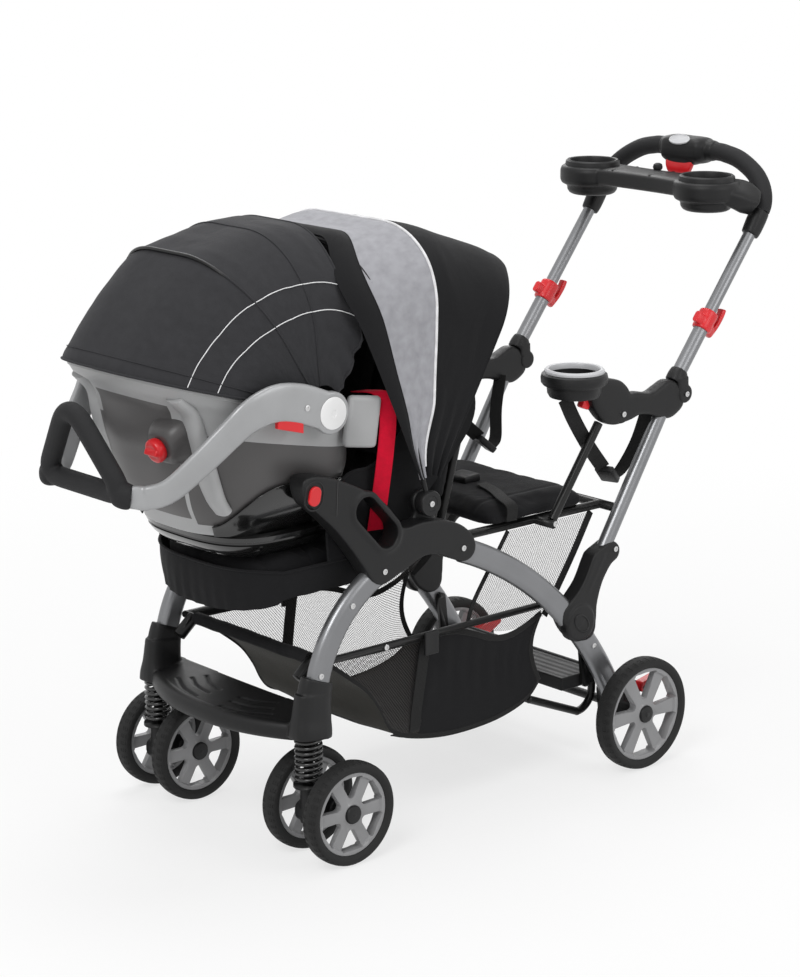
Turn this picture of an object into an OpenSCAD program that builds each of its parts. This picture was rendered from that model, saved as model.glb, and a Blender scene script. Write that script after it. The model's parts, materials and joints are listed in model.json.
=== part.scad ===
// Tandem stroller with a lift-off infant carrier, in millimetres.
// Z is up, the front of the stroller faces -Y and +X is the child's left.
// The origin is on the floor, under the middle of the whole object.

/* [Wheels] */
// Diameter of a rear wheel
rear_wheel_d = 200; // [190:1:206]
// Width of a rear wheel
rear_wheel_w = 34; // [28:1:36]
// Diameter of a front wheel
front_wheel_d = 172; // [160:1:176]
// Width of a front wheel
front_wheel_w = 32; // [26:1:34]
// Spacing of the two wheels of a caster
wheel_pair = 102; // [98:1:106]
// Diameter of the wheel axles
axle_d = 10; // [8:0.5:12]
// Distance of the caster axle behind its swivel
caster_trail = 40; // [30:1:44]
// Radial room of a running fit
running_gap = 0.05; // [0.02:0.01:0.08]

/* [Stance] */
// Half the spacing of the two side frames
frame_x = 198; // [196:1:202]
// Place of the rear axle along the stroller
rear_axle_y = 334; // [330:1:340]
// Place of the caster swivels along the stroller
caster_y = -383; // [-386:1:-380]
// Half the spacing of the caster swivels
caster_x = 200; // [198:1:203]
// Room between a rear leg and its wheel
rear_wheel_room = 18.5; // [17:0.5:22]

/* [Legs and tubes] */
// Depth of the oval leg tube
leg_h = 42; // [38:1:44]
// Width of the oval leg tube
leg_w = 25; // [22:1:26]
// Wall of every metal tube
tube_wall = 1.6; // [1.2:0.1:2.2]
// Bulge of the rear leg over its chord
rear_leg_sag = 42; // [38:1:46]
// Bulge of the front leg over its chord
front_leg_sag = 24.4; // [22:0.5:27]
// Diameter of the handle tubes
tube_d = 22.2; // [20:0.2:23]
// Diameter of the seat tubes
seat_tube_d = 16; // [14:0.5:17]
// Diameter of the basket rails
rail_d = 12; // [10:0.5:12]

/* [Side hub] */
// Thickness of the moulded side hub
hub_t = 44; // [40:1:46]
// Length of the side hub
hub_length = 374; // [368:1:380]
// Height of the side hub
hub_height = 222; // [218:1:226]
// Radius of the ear that carries the canopy
canopy_ear_r = 20; // [18:0.5:22]

/* [Handle] */
// Lean of the upper handle tube from upright, in degrees
upper_lean = 37.7; // [36:0.1:39]
// Lean of the lower handle tube from upright, in degrees
lower_lean = 31.9; // [30:0.1:33]
// Place of the handle knee along the stroller
knee_y = 444; // [440:1:448]
// Height of the handle knee
knee_z = 661; // [655:1:667]
// Distance of the fold pin behind the handle tube
fold_pin_back = 24; // [23.5:0.1:26]
// Diameter of the fold pin
fold_pin_d = 8; // [6:0.5:9]
// Length of the upper handle tube
upper_tube_l = 352; // [340:1:360]
// Radius of the foam grip bar
grip_r = 14; // [12:0.5:15]
// Rise of the grip bar over its brackets
grip_rise = 98; // [94:1:104]
// Bend radius of the grip bar
grip_bend_r = 58; // [50:1:70]
// Lean of the grip bar from upright, in degrees
grip_lean = 18; // [16:0.5:20]
// Diameter of the console cup wells
cup_d = 82; // [76:1:86]
// Depth of the console cup wells
cup_depth = 58; // [50:1:60]
// Wall round the cup wells
cup_wall = 4; // [3:0.5:5]
// Half the spacing of the console cups
console_cup_x = 141; // [136:1:144]

/* [Canopy] */
// Height of the canopy over its pivot
canopy_r = 446; // [430:1:452]
// Corner radius of the canopy bows
canopy_corner_r = 130; // [110:1:150]
// Lean of the front bow, in degrees
canopy_front_lean = -16; // [-18:0.5:-12]
// Lean of the rear bow, in degrees
canopy_rear_lean = 35; // [32:0.5:38]
// Thickness of the canopy cloth
cloth_t = 2.4; // [2:0.1:3]
// Diameter of the canopy bow
bow_d = 8; // [6:0.5:9]

/* [Suspension] */
// Diameter of the suspension rod
strut_d = 16; // [14:0.5:18]
// Mean diameter of the coil spring
spring_d = 41; // [36:0.5:43]
// Diameter of the spring wire
wire_d = 4.6; // [3.5:0.1:5.2]
// Number of turns of the coil spring
spring_turns = 7; // [5:1:8]
// Height of the lower spring seat
spring_low_z = 132; // [130:1:136]
// Height of the upper spring seat
spring_high_z = 218; // [216:1:222]
// Suspension travel
strut_travel = 12; // [6:1:12]

/* [Seats and basket] */
// Half the width of the seats
seat_x = 160; // [150:1:164]
// Length of the jump seat
jump_seat_l = 214; // [200:1:220]
// Length of the front seat
front_seat_l = 330; // [310:1:340]
// Thickness of the seat cushions
seat_t = 34; // [28:1:34]
// Height of the crown of a cushion
seat_crown = 7; // [4:0.5:9]
// Depth of the basket
basket_depth = 172; // [150:1:180]
// Length of the basket rim
basket_l = 490; // [470:1:500]

/* [Carrier] */
// Half the width of the carrier rim
carrier_x = 186; // [182:1:187]
// Length of the carrier rim
carrier_l = 410; // [390:1:416]
// Height of the carrier shell
carrier_h = 206; // [200:1:208]
// Wall of the carrier shell
carrier_wall = 5; // [4:0.5:7]
// Place of the carrier handle pivot along the stroller
carrier_pivot_y = -340; // [-344:1:-336]
// Height of the carrier handle pivot
carrier_pivot_z = 732; // [728:1:736]
// Diameter of the carrier handle pivot pin
carrier_pin_d = 24; // [20:0.5:28]
// Height of the carrier canopy over its pivot
carrier_canopy_r = 266; // [256:1:270]
// Reach of the carrier canopy hem
carrier_hem_r = 352; // [340:1:356]

/* [Hidden] */
$fn = 48;

// Small room between pieces that touch, and room between pieces that move
seat_gap = 0.3;
move_gap = 0.4;
eps = 0.5;

// A rod's corner ball is a little larger than the rod, and a branch a little thinner
elbow = 0.3;
branch = 0.25;

// Rear leg and front leg: ends of the arc, as points along Y and Z
leg_insert = 26;
rear_leg_a = [-28, 447];
rear_leg_foot = [-22, 25];
rear_leg_b = [rear_axle_y, rear_wheel_d / 2] + rear_leg_foot;
front_leg_a = [-253, 442];
front_leg_foot = [17, 52];
front_leg_b = [caster_y, spring_high_z] + front_leg_foot;

// Side hub outline as shares of its length and height
hub_origin = [-386, 410];
hub_round = 9;
hub_outline_shares = [
    [1.000, 0.297], [0.947, 0.027], [0.818, 0.126], [0.706, 0.234], [0.580, 0.189],
    [0.505, 0.054], [0.409, 0.000], [0.297, 0.306], [0.096, 0.703], [0.000, 0.824],
    [0.048, 1.000], [0.214, 0.901], [0.369, 0.748], [0.489, 0.586], [0.553, 0.495],
    [0.770, 0.468], [0.898, 0.392]
];
hub_hole_shares = [0.390, 0.532];
hub_hole_l = 78;
hub_hole_w = 34;
hub_hole_lean = -42;
hub_button_shares = [0.064, 0.856];
hub_button_l = 26;
hub_button_w = 18;
hub_button_deep = 9;
hub_button_proud = 3;
hub_button_travel = 3;
canopy_pivot = hub_origin + [0.687 * hub_length, 0.631 * hub_height];
canopy_pin_d = 8;
canopy_disc_t = 15;
ear_t = 18;
ear_foot_share = 0.36;
hub_button_lean = hub_hole_lean / 4;

// Handle knee: directions up the tubes and straight back from the knee
knee = [knee_y, knee_z];
up_dir = [sin(upper_lean), cos(upper_lean)];
low_dir = [sin(lower_lean), cos(lower_lean)];
mid_lean = (upper_lean + lower_lean) / 2;
back_dir = [cos(mid_lean), -sin(mid_lean)];
rise_dir = [sin(mid_lean), cos(mid_lean)];
fold_pin = knee + fold_pin_back * back_dir;
knee_core_r = 13.2;
knee_lug_r = 10;
knee_lug_t = 25.8;
knee_fit_half = 14.5;
knee_fit_l = 52;
knee_cheek_t = 5;
knee_sleeve_l = 58;
knee_step = 1;
lug_foot_share = 0.6;
lower_tube_l = 408;

// Rear link outline as shares of its size, from its lower front corner
link_origin = [196, 243];
link_size = [126, 168];
link_outline_shares = [
    [0.00, 0.30], [0.16, 0.62], [0.43, 0.86], [0.83, 1.00], [1.00, 0.92], [1.00, 0.80],
    [0.82, 0.60], [0.62, 0.24], [0.44, 0.00], [0.14, 0.04]
];
link_round = 11;
link_t = 52;

// Armrest: outline in shares of its reach and depth, from the knee
arm_reach = 206;
arm_depth = 62;
arm_outline_shares = [
    [-0.06, 0.10], [-0.30, 0.30], [-0.42, 0.02], [-0.68, -0.06], [-0.90, 0.96],
    [-1.00, 0.96], [-1.00, 0.34], [-0.74, -0.62], [-0.62, -0.80], [-0.34, -0.72],
    [-0.20, -0.98], [-0.12, -0.62]
];
arm_round = 8;
arm_t = 30;
arm_cup_out = 240;
arm_cup_rise = 61;
arm_cup_z = knee_z + arm_cup_rise;
arm_cup_depth = 44;
arm_cup_d = 88;
arm_cup_wall = 5;
strut_top_from_knee = [-172, -41];
strut_top = knee + strut_top_from_knee;
seat_strut_x = 190;

// Seat frame
jump_rail_z = 462;
jump_rail_x = 150;
outrigger_back = 284;
outrigger = [knee_y - outrigger_back, jump_rail_z];
outrigger_r = seat_tube_d / 2 - 2 * branch;
strut_foot = outrigger + (outrigger_r + seat_gap) * unit(strut_top - outrigger);
jump_rail_back_y = knee_y - (knee_z - jump_rail_z) * tan(lower_lean);
jump_cross_y = -44;
front_rail_z = 440;
front_rail_x = 146;
front_rail_y = [-436, -196];
front_cross_y = -216;
back_post_x = 128;
back_post_lean = 16;
back_post_l = 330;
back_post_foot = [jump_cross_y, jump_rail_z + seat_tube_d / 2];
jump_seat_y = (jump_cross_y + jump_rail_back_y) / 2;
front_seat_y = -292;
seat_pinch_share = 0.05;
jump_seat_t = seat_t * 0.6;
seat_back_l = 300;
seat_back_t = 34;
seat_back_lift = 2 * seat_tube_d;
front_seat_top_z = front_rail_z + seat_tube_d / 2 + seat_gap + seat_t + seat_crown;

// Basket and its frame
rail_x = frame_x - leg_w / 2 - rail_d / 2 - seat_gap;
rail_z = 318;
rail_y = [-337, 168];
basket_x = rail_x - rail_d / 2 - seat_gap;
basket_y = rail_y[0] + rail_d / 2 + seat_gap + basket_l / 2;
basket_edge = 0.35;
basket_points = 48;
basket_wall = 2;
basket_drop_shares = [0, 0.30, 0.62, 0.86, 1];
basket_width_shares = [1, 0.99, 0.95, 0.86, 0.62];
basket_length_shares = [1, 0.835, 0.676, 0.576, 0.39];
basket_back_shares = [0, 0.116, 0.186, 0.184, 0.129];
basket_fold = 3;
basket_folds = 9;
stub_d = 22;
stub_l = 40;
stub_lean = 40;
net_t = 1.6;
net_x = jump_rail_x - net_t / 2;
net_pitch = 15;
net_gap = 10;
net_corner_shares = [[0, 0], [0.24, -1], [1, 0]];
net_y = 66;
net_z = jump_rail_z - seat_tube_d / 2 - seat_gap;
net_l = 190;
net_drop = 118;
net_border_share = 0.14;

// Footrest
foot_reach = 72;
foot_front_y = caster_y - foot_reach;
foot_rear_y = -318;
foot_x = 172;
foot_bow = 46;
foot_pan_z = 216;
foot_pan_t = 8;
foot_lip_z = [193, 238];
foot_lip_t = 6;
foot_rib_t = 3;
foot_rib_h = 3;
foot_rib_rows = 4;
foot_rib_pitch = 22;
foot_rib_share = 0.62;
socket_size = [58, 78, 74];
socket_back = 9;
socket_y = caster_y + socket_back;
socket_round = 12;

// Suspension and caster
strut_low_z = 100;
strut_high_z = 250;
strut_end = 2;
strut_flange_t = 5;
strut_flange_d = 50;
fork_stem_d = 28;
fork_low_z = 66;
fork_arm_t = 40;
fork_axle_r = 17;
fork_boss_d = 24;
fork_round = 13;
axle_z = front_wheel_d / 2;
axle_y = caster_y + caster_trail;

// Wheels
tyre_deep = 17;
tyre_round = 7;
rim_t_share = 0.6;
wheel_hub_r = 21;
wheel_spokes = 6;
spoke_half_turn = 17;
rim_ring = 8;
wheel_hub_proud = 2;

// Rear axle, brake and platform
rear_leg_out = frame_x + leg_w / 2;
rear_wheel_x = rear_leg_out + rear_wheel_room + rear_wheel_w / 2;
axle_tube_d = 16;
axle_block_half = 27;
axle_block_in = 42;
axle_block_low = 21;
axle_block_high = 43;
axle_block_lean = 8;
axle_block_nose = 4;
axle_block_round = 10;
brake_pin_d = 8;
brake_pin_from_axle = [34, 32];
brake_pin = [rear_axle_y, rear_wheel_d / 2] + brake_pin_from_axle;
brake_arm_r = 11;
brake_arm_side = [-6, 12];
brake_x = [for (b = brake_arm_side) rear_leg_out + b];
brake_reach = 56;
brake_pad_t = 12;
platform_x = 178.4;
platform_y = [205, 300];
platform_z = [150, 170];
platform_lip = 4;
platform_rim = 6;
ridge_rows = 5;
ridge_h = 2;
link_plate_t = 6;
link_plate_w = 18;
link_plate_x = frame_x - leg_w / 2 - seat_gap - link_plate_t;
link_plate_top = [249, 232];
link_plate_foot = [258, 158];
ubar_d = 14;
ubar_x = 150;
ubar_front = [154, 140];
ubar_low = [256, 92];
ubar_bend_r = 36;
ubar_rear_y = platform_y[1] + seat_gap + ubar_d / 2;
ubar_top_z = 156;

// Grip bar, hub and console
tube_top = knee + upper_tube_l * up_dir;
grip_foot_from_tube = [2, 4];
grip_foot = tube_top + grip_foot_from_tube;
grip_dir = [sin(grip_lean), cos(grip_lean)];
grip_top = grip_foot + grip_rise * grip_dir;
handle_hub_size = [100, 58, 48];
handle_hub_ahead = 6;
handle_hub_y = grip_top[0] - handle_hub_ahead;
handle_hub_round = 14;
trigger_size = [50, 12, 26];
trigger_ahead = 24;
trigger_y = grip_top[0] - trigger_ahead;
trigger_travel = 8;
trigger_proud = 18;
trigger_end = 2;
console_rise = 64;
console_top_z = tube_top[1] + console_rise;
console_t = 34;
console_x = 152;
console_ahead = [96, 26];
console_y = [for (a = console_ahead) tube_top[0] - a];
console_cup_ahead = 76;
console_cup_y = tube_top[0] - console_cup_ahead;
bracket_t = 36;
bracket_from_tube = [[30, 24], [22, -22], [-20, -44], [-42, -22]];
bracket_outline = [
    [console_y[0], console_top_z - console_t], [console_y[0], console_top_z],
    [console_y[1], console_top_z], for (b = bracket_from_tube) tube_top + b
];
bracket_round = 8;
collar_l = 36;
collar_r = 17;
collar_along = 136;
collar_tab = [14, 12, 30];

// Canopies: lean of each station with the dip of the cloth between bows
bow_mid_lean = 9;
cloth_dip = 10;
cloth_fall = 2;
panel_steps = 4;
arch_steps = 7;
canopy_r0 = 46;
carrier_hood_x = 190;
carrier_hood_corner_r = 150;
carrier_hood_r0 = 40;
carrier_hood_leans = [12, -10, -32, -54, -75];
carrier_hood_curve = 1.6;
carrier_bow_lean = -32;
carrier_bow_corner_r = 130;
carrier_bow_x = 170;
carrier_bow_d = 6;
carrier_bow_disc = [16, 10];
carrier_bow_pin_d = 8;

// Infant carrier
carrier_base_z = front_seat_top_z + seat_gap;
carrier_base_h = 46;
carrier_shell_z = carrier_base_z + carrier_base_h + seat_gap;
carrier_mid_y = -418;
carrier_slope = -0.28;
carrier_lean = 46;
carrier_rise_shares = [0, 0.22, 0.55, 1];
carrier_width_shares = [[0, 0.66], [0.22, 0.84], [0.55, 0.95], [1, 1]];
carrier_length_shares = [[0, 0.60], [0.22, 0.78], [0.55, 0.92], [1, 1]];
carrier_edge = 0.7;
carrier_base_shares = [[0, 0.62, 0.26], [0.5, 0.78, 0.36], [1, 0.82, 0.39]];
carrier_ear_r = 30;
carrier_ear_t = 24;
carrier_arm_x = 200.4;
carrier_arm_t = 14;
carrier_disc_r = 34;
carrier_arm_reach = 318;
carrier_arm_drop = 101;
carrier_arm_in = 101;
carrier_arm_shares = [
    [0.06, 0.08, 0.000, 1.00], [0.20, 0.24, 0.000, 1.00], [0.343, 0.297, 0.000, 0.96],
    [0.478, 0.168, 0.043, 0.88], [0.575, -0.119, 0.187, 0.80], [0.698, -0.515, 0.378, 0.74],
    [0.821, -0.921, 0.646, 0.68], [0.903, -1.040, 0.885, 0.62]
];
carrier_arm_half = 31;
delta_base = [103, carrier_pivot_y - carrier_arm_reach, carrier_pivot_z - carrier_arm_drop];
delta_top = [27, 140];
delta_apex = [0, delta_base[1] - delta_top[0], delta_base[2] + delta_top[1]];
delta_r = 16;
delta_sleeve_r = 19;
catch_t = 9;
catch_ahead = [106, 56];
catch_y = [for (a = catch_ahead) carrier_pivot_y - a];
catch_drop = [10, 24];
catch_z = [for (d = catch_drop) carrier_pivot_z - d];
catch_h = 18;
catch_travel = 4;
pad_wall = 13;
pad_gap = 1.5;
pad_rise_share = 0.9;
knob_x = 60;
knob_ahead = 161;
knob_rise = 132.1;
knob_place = [knob_x, carrier_mid_y - knob_ahead, carrier_shell_z + knob_rise];
knob_tilt = 108;
knob_d = 30;
knob_l = 24;

// Fasteners
bolt_r = 4.5;
bolt_h = 3;
bolt_gap = 0.05;

// Helpers for outlines and rods
function unit(v) = v / norm(v);
function turn(a) = a > 180 ? a - 360 : a < -180 ? a + 360 : a;
function corner(a, b, c, r, n) =
    let (u = unit(a - b), w = unit(c - b), half = acos(u * w) / 2,
         room = min(norm(a - b), norm(c - b)) * 0.48, cut = min(r / tan(half), room),
         fit = cut * tan(half), mid = b + unit(u + w) * fit / sin(half),
         p = b + u * cut - mid, q = b + w * cut - mid, start = atan2(p[1], p[0]),
         sweep = turn(atan2(q[1], q[0]) - start))
    [for (i = [0 : n]) mid + fit * [cos(start + sweep * i / n), sin(start + sweep * i / n)]];
function rounded(pts, r, n = 4) = let (m = len(pts))
    [for (i = [0 : m - 1]) each corner(pts[(i + m - 1) % m], pts[i], pts[(i + 1) % m], r, n)];
function placed(shares, origin, size) =
    [for (s = shares) origin + [s[0] * size[0], s[1] * size[1]]];

module on_side(s) {
    if (s > 0) children();
    else mirror([1, 0, 0]) children();
}

// Extrudes an outline drawn along Y and Z in the X direction.
module plate(x, t) {
    translate([x, 0, 0]) rotate([90, 0, 90]) linear_extrude(t) children();
}

module rod_x(x, l, p, r) {
    translate([x, p[0], p[1]]) rotate([0, 90, 0]) cylinder(r = r, h = l);
}

module rod_yz(x, a, b, r) {
    translate([x, a[0], a[1]])
        rotate([-atan2(b[0] - a[0], b[1] - a[1]), 0, 0]) cylinder(r = r, h = norm(b - a));
}

module rod_between(a, b, r) {
    d = b - a;
    translate(a) rotate([0, acos(d[2] / norm(d)), atan2(d[1], d[0])])
        cylinder(r = r, h = norm(d));
}

module tube_yz(x, a, b, r) {
    d = unit(b - a) * eps;
    difference() {
        rod_yz(x, a, b, r);
        rod_yz(x, a - d, b + d, r - tube_wall);
    }
}

module soft_box(size, r) {
    linear_extrude(size[2]) polygon(rounded([
        [-size[0] / 2, -size[1] / 2], [size[0] / 2, -size[1] / 2],
        [size[0] / 2, size[1] / 2], [-size[0] / 2, size[1] / 2]], r));
}

// Legs: an oval tube bent along an arc over its chord
function arc_radius(a, b, sag) = pow(norm(b - a), 2) / (8 * sag) + sag / 2;
function arc_centre(a, b, sag, way) =
    (a + b) / 2 - way * [a[1] - b[1], b[0] - a[0]] / norm(b - a) * (arc_radius(a, b, sag) - sag);

module leg_section(r, grow) {
    for (k = [-1, 1]) translate([r + k * (leg_h - leg_w) / 2, 0]) circle(d = leg_w + 2 * grow);
    translate([r, 0]) square([leg_h - leg_w, leg_w + 2 * grow], center = true);
}

module leg_sweep(a, b, sag, way, grow, longer) {
    r = arc_radius(a, b, sag);
    c = arc_centre(a, b, sag, way);
    extra = (leg_insert + longer) / r * 180 / PI;
    end = longer / r * 180 / PI;
    start = atan2(a[1] - c[1], a[0] - c[0]) + way * extra;
    stop = atan2(b[1] - c[1], b[0] - c[0]) - way * end;
    translate([frame_x, c[0], c[1]]) rotate([90, 0, 90]) rotate([0, 0, min(start, stop)])
        rotate_extrude(angle = abs(stop - start), $fn = 96) leg_section(r, grow);
}

module leg(a, b, sag, way) {
    difference() {
        leg_sweep(a, b, sag, way, 0, 0);
        leg_sweep(a, b, sag, way, -tube_wall, 1);
    }
}

module rear_leg_room() {
    leg_sweep(rear_leg_a, rear_leg_b, rear_leg_sag, 1, seat_gap, seat_gap);
}

module front_leg_room() {
    leg_sweep(front_leg_a, front_leg_b, front_leg_sag, -1, seat_gap, seat_gap);
}

module rear_leg(s) { color("silver") on_side(s) leg(rear_leg_a, rear_leg_b, rear_leg_sag, 1); }
module front_leg(s) { color("silver") on_side(s) leg(front_leg_a, front_leg_b, front_leg_sag, -1); }

// Side hub: the moulding that joins the legs and carries the canopy
hub_size = [hub_length, hub_height];
hub_in_x = frame_x - hub_t / 2;
hub_out_x = frame_x + hub_t / 2;
hub_hole = placed([hub_hole_shares], hub_origin, hub_size)[0];
hub_button_at = placed([hub_button_shares], hub_origin, hub_size)[0];

module oval(l, w) {
    for (k = [-1, 1]) translate([k * (l - w) / 2, 0]) circle(d = w);
    square([l - w, w], center = true);
}

module hub_button_shape(grow) {
    translate(hub_button_at) rotate(90 + hub_button_lean)
        oval(hub_button_l + 2 * grow, hub_button_w + 2 * grow);
}

module side_hub(s) {
    ear_foot = hub_origin[1] + ear_foot_share * hub_height;
    color("dimgray") on_side(s) difference() {
        union() {
            plate(hub_in_x, hub_t)
                polygon(rounded(placed(hub_outline_shares, hub_origin, hub_size), hub_round));
            rod_x(hub_in_x, ear_t, canopy_pivot, canopy_ear_r);
            plate(hub_in_x, ear_t) translate([canopy_pivot[0] - canopy_ear_r, ear_foot])
                square([2 * canopy_ear_r, canopy_pivot[1] - ear_foot]);
            rod_x(hub_in_x, ear_t + seat_gap + canopy_disc_t, canopy_pivot, canopy_pin_d / 2);
        }
        rear_leg_room();
        front_leg_room();
        plate(hub_in_x - eps, hub_t + 2 * eps)
            translate(hub_hole) rotate(hub_hole_lean) oval(hub_hole_l, hub_hole_w);
        plate(hub_out_x - hub_button_deep, hub_button_deep + eps) hub_button_shape(move_gap);
    }
}

module hub_button(s) {
    under = hub_button_deep - hub_button_travel - move_gap;
    color("red") on_side(s) plate(hub_out_x - under, under + hub_button_proud) hub_button_shape(0);
}

// Handle side: lower tube, link to the rear leg, armrest with the fold pin
low_top = knee - knee_step * low_dir;
low_foot = knee - lower_tube_l * low_dir;

module lower_tube(s) { color("silver") on_side(s) tube_yz(frame_x, low_foot, low_top, tube_d / 2); }

module rear_link(s) {
    color("dimgray") on_side(s) difference() {
        plate(frame_x - link_t / 2, link_t)
            polygon(rounded(placed(link_outline_shares, link_origin, link_size), link_round));
        rear_leg_room();
        rod_yz(frame_x, low_foot - seat_gap * low_dir, low_top, tube_d / 2 + seat_gap);
    }
}

// A point near the knee, counted back from the tube and up along it.
function at_knee(back, up) = knee + back * back_dir + up * rise_dir;

module armrest(s) {
    cheek = [at_knee(-knee_fit_half, -knee_sleeve_l), at_knee(-knee_fit_half, -knee_step),
             at_knee(knee_fit_half, -knee_step),
             at_knee(fold_pin_back - knee_lug_r, knee_lug_r),
             at_knee(fold_pin_back + knee_lug_r, knee_lug_r),
             at_knee(fold_pin_back + knee_lug_r, -knee_lug_r),
             at_knee(knee_fit_half, -knee_sleeve_l)];
    cheek_in = knee_lug_t / 2 + seat_gap;
    sleeve_foot = knee - knee_sleeve_l * low_dir;
    color("dimgray") on_side(s) difference() {
        union() {
            for (x = [-cheek_in - knee_cheek_t, cheek_in])
                plate(frame_x + x, knee_cheek_t) polygon(rounded(cheek, arm_round));
            rod_x(frame_x - cheek_in - knee_cheek_t, 2 * (cheek_in + knee_cheek_t), fold_pin,
                fold_pin_d / 2);
            rod_yz(frame_x, sleeve_foot, low_top, knee_core_r + seat_gap);
            plate(frame_x - arm_t / 2, arm_t)
                polygon(rounded(placed(arm_outline_shares, knee, [arm_reach, arm_depth]), arm_round));
            translate([frame_x, knee_y - arm_cup_out, arm_cup_z - arm_cup_depth - arm_cup_wall])
                cylinder(d = arm_cup_d + 2 * arm_cup_wall, h = arm_cup_depth + arm_cup_wall);
        }
        translate([frame_x, knee_y - arm_cup_out, arm_cup_z - arm_cup_depth])
            cylinder(d = arm_cup_d, h = arm_cup_depth + eps);
        rod_yz(frame_x, low_foot, knee + knee_step * low_dir, tube_d / 2 + seat_gap);
        rod_yz(seat_strut_x, strut_foot, strut_top + seat_gap * unit(strut_top - strut_foot),
            seat_tube_d / 2 + seat_gap);
    }
}

module seat_strut(s) {
    color("black") on_side(s) tube_yz(seat_strut_x, strut_foot, strut_top, seat_tube_d / 2);
}

// Seat frame and cushions
module seat_frame() {
    r = seat_tube_d / 2;
    hub_reach = hub_in_x - seat_gap;
    post_top = back_post_foot + back_post_l * [sin(back_post_lean), cos(back_post_lean)];
    tube_reach = frame_x - tube_d / 2 - seat_gap;
    color("black") {
        rod_x(-hub_reach, 2 * hub_reach, [jump_cross_y, jump_rail_z], r);
        rod_x(-tube_reach, 2 * tube_reach, [jump_rail_back_y, jump_rail_z], r);
        rod_x(-hub_reach, 2 * hub_reach, [front_cross_y, front_rail_z], r);
        rod_x(-front_rail_x, 2 * front_rail_x, [front_rail_y[0], front_rail_z], r);
        for (k = [-1, 1]) {
            rod_yz(k * jump_rail_x, [jump_cross_y, jump_rail_z], [jump_rail_back_y, jump_rail_z], r - branch);
            rod_yz(k * front_rail_x, [front_rail_y[0], front_rail_z], [front_rail_y[1], front_rail_z],
                r - branch);
            rod_yz(k * back_post_x, [jump_cross_y, jump_rail_z], post_top, r - branch);
            on_side(k) rod_x(jump_rail_x, seat_strut_x + r - jump_rail_x, outrigger, outrigger_r);
            translate([k * front_rail_x, front_rail_y[0], front_rail_z]) sphere(r = r + elbow);
        }
        rod_x(-back_post_x, 2 * back_post_x, post_top, r);
        for (k = [-1, 1]) translate([k * back_post_x, post_top[0], post_top[1]]) sphere(r = r + elbow);
    }
}

// Skins: a closed solid over rings of points, from the first ring to the last
function ring(c, half, edge, slope = 0, pinch = 0, n = 40, fold = 0, folds = 0) = [
    for (i = [0 : n - 1])
        let (a = 360 * i / n, k = 1 - pinch * pow(cos(2 * a), 2),
             x = half[0] * k * sign(cos(a)) * pow(abs(cos(a)), edge),
             y = half[1] * k * sign(sin(a)) * pow(abs(sin(a)), edge), w = fold * cos(folds * a))
        [c[0] + x + w * cos(a), c[1] + y + w * sin(a), c[2] + slope * y]];
function skin_sides(m, n, start, out) = [
    for (j = [0 : m - 2], i = [0 : n - 1])
        let (a = start + j * n + i, b = start + j * n + (i + 1) % n, c = b + n, d = a + n)
        each (out ? [[a, d, c], [a, c, b]] : [[a, c, d], [a, b, c]])];

module skin(rings) {
    n = len(rings[0]);
    m = len(rings);
    polyhedron([for (r = rings) each r], concat([[for (i = [0 : n - 1]) i]], skin_sides(m, n, 0, true),
        [[for (i = [n - 1 : -1 : 0]) (m - 1) * n + i]]), convexity = 8);
}

module bowl(outer, inner) {
    n = len(outer[0]);
    m = len(outer);
    h = m * n;
    rim = [for (i = [0 : n - 1])
        let (a = h - n + i, b = h - n + (i + 1) % n, c = b + h, d = a + h) each [[a, d, c], [a, c, b]]];
    polyhedron(concat([for (r = outer) each r], [for (r = inner) each r]),
        concat([[for (i = [0 : n - 1]) i]], skin_sides(m, n, 0, true), rim, skin_sides(m, n, h, false),
            [[for (i = [n - 1 : -1 : 0]) h + i]]), convexity = 8);
}

cushion_levels = [[0, 0.965], [0.25, 1], [0.7, 1], [0.92, 0.975], [1, 0.93]];
crown_levels = [[0.55, 0.78], [0.85, 0.5], [1, 0.15]];
cushion_edge = 0.3;

module cushion(half, t, crown) {
    skin(concat(
        [for (l = cushion_levels) ring([0, 0, l[0] * t], half * l[1], cushion_edge, 0, seat_pinch_share)],
        [for (l = crown_levels)
            ring([0, 0, t + l[0] * crown], half * l[1], cushion_edge, 0, seat_pinch_share)]));
}

module jump_seat() {
    color([0.12, 0.12, 0.12]) translate([0, jump_seat_y, jump_rail_z + seat_tube_d / 2 + seat_gap])
        cushion([seat_x, jump_seat_l / 2], jump_seat_t, seat_crown);
}

module front_seat() {
    color([0.12, 0.12, 0.12]) translate([0, front_seat_y, front_rail_z + seat_tube_d / 2 + seat_gap])
        cushion([seat_x, front_seat_l / 2], seat_t, seat_crown);
}

module seat_back() {
    color([0.12, 0.12, 0.12]) translate([0, back_post_foot[0], back_post_foot[1]])
        rotate([90 - back_post_lean, 0, 0])
            translate([0, seat_back_l / 2 + seat_back_lift, seat_tube_d / 2 + seat_gap])
                cushion([seat_x, seat_back_l / 2], seat_back_t, seat_crown);
}

// Basket: a hanging bag with folds, side nets and its rails
function basket_ring(i, shrink, lift) =
    ring([0, basket_y + basket_l / 2 * basket_back_shares[i],
          rail_z - basket_drop_shares[i] * basket_depth + lift],
        [basket_x * basket_width_shares[i] - shrink, basket_l / 2 * basket_length_shares[i] - shrink],
        basket_edge, 0, 0, basket_points, basket_fold * sin(180 * basket_drop_shares[i]), basket_folds);

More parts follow.
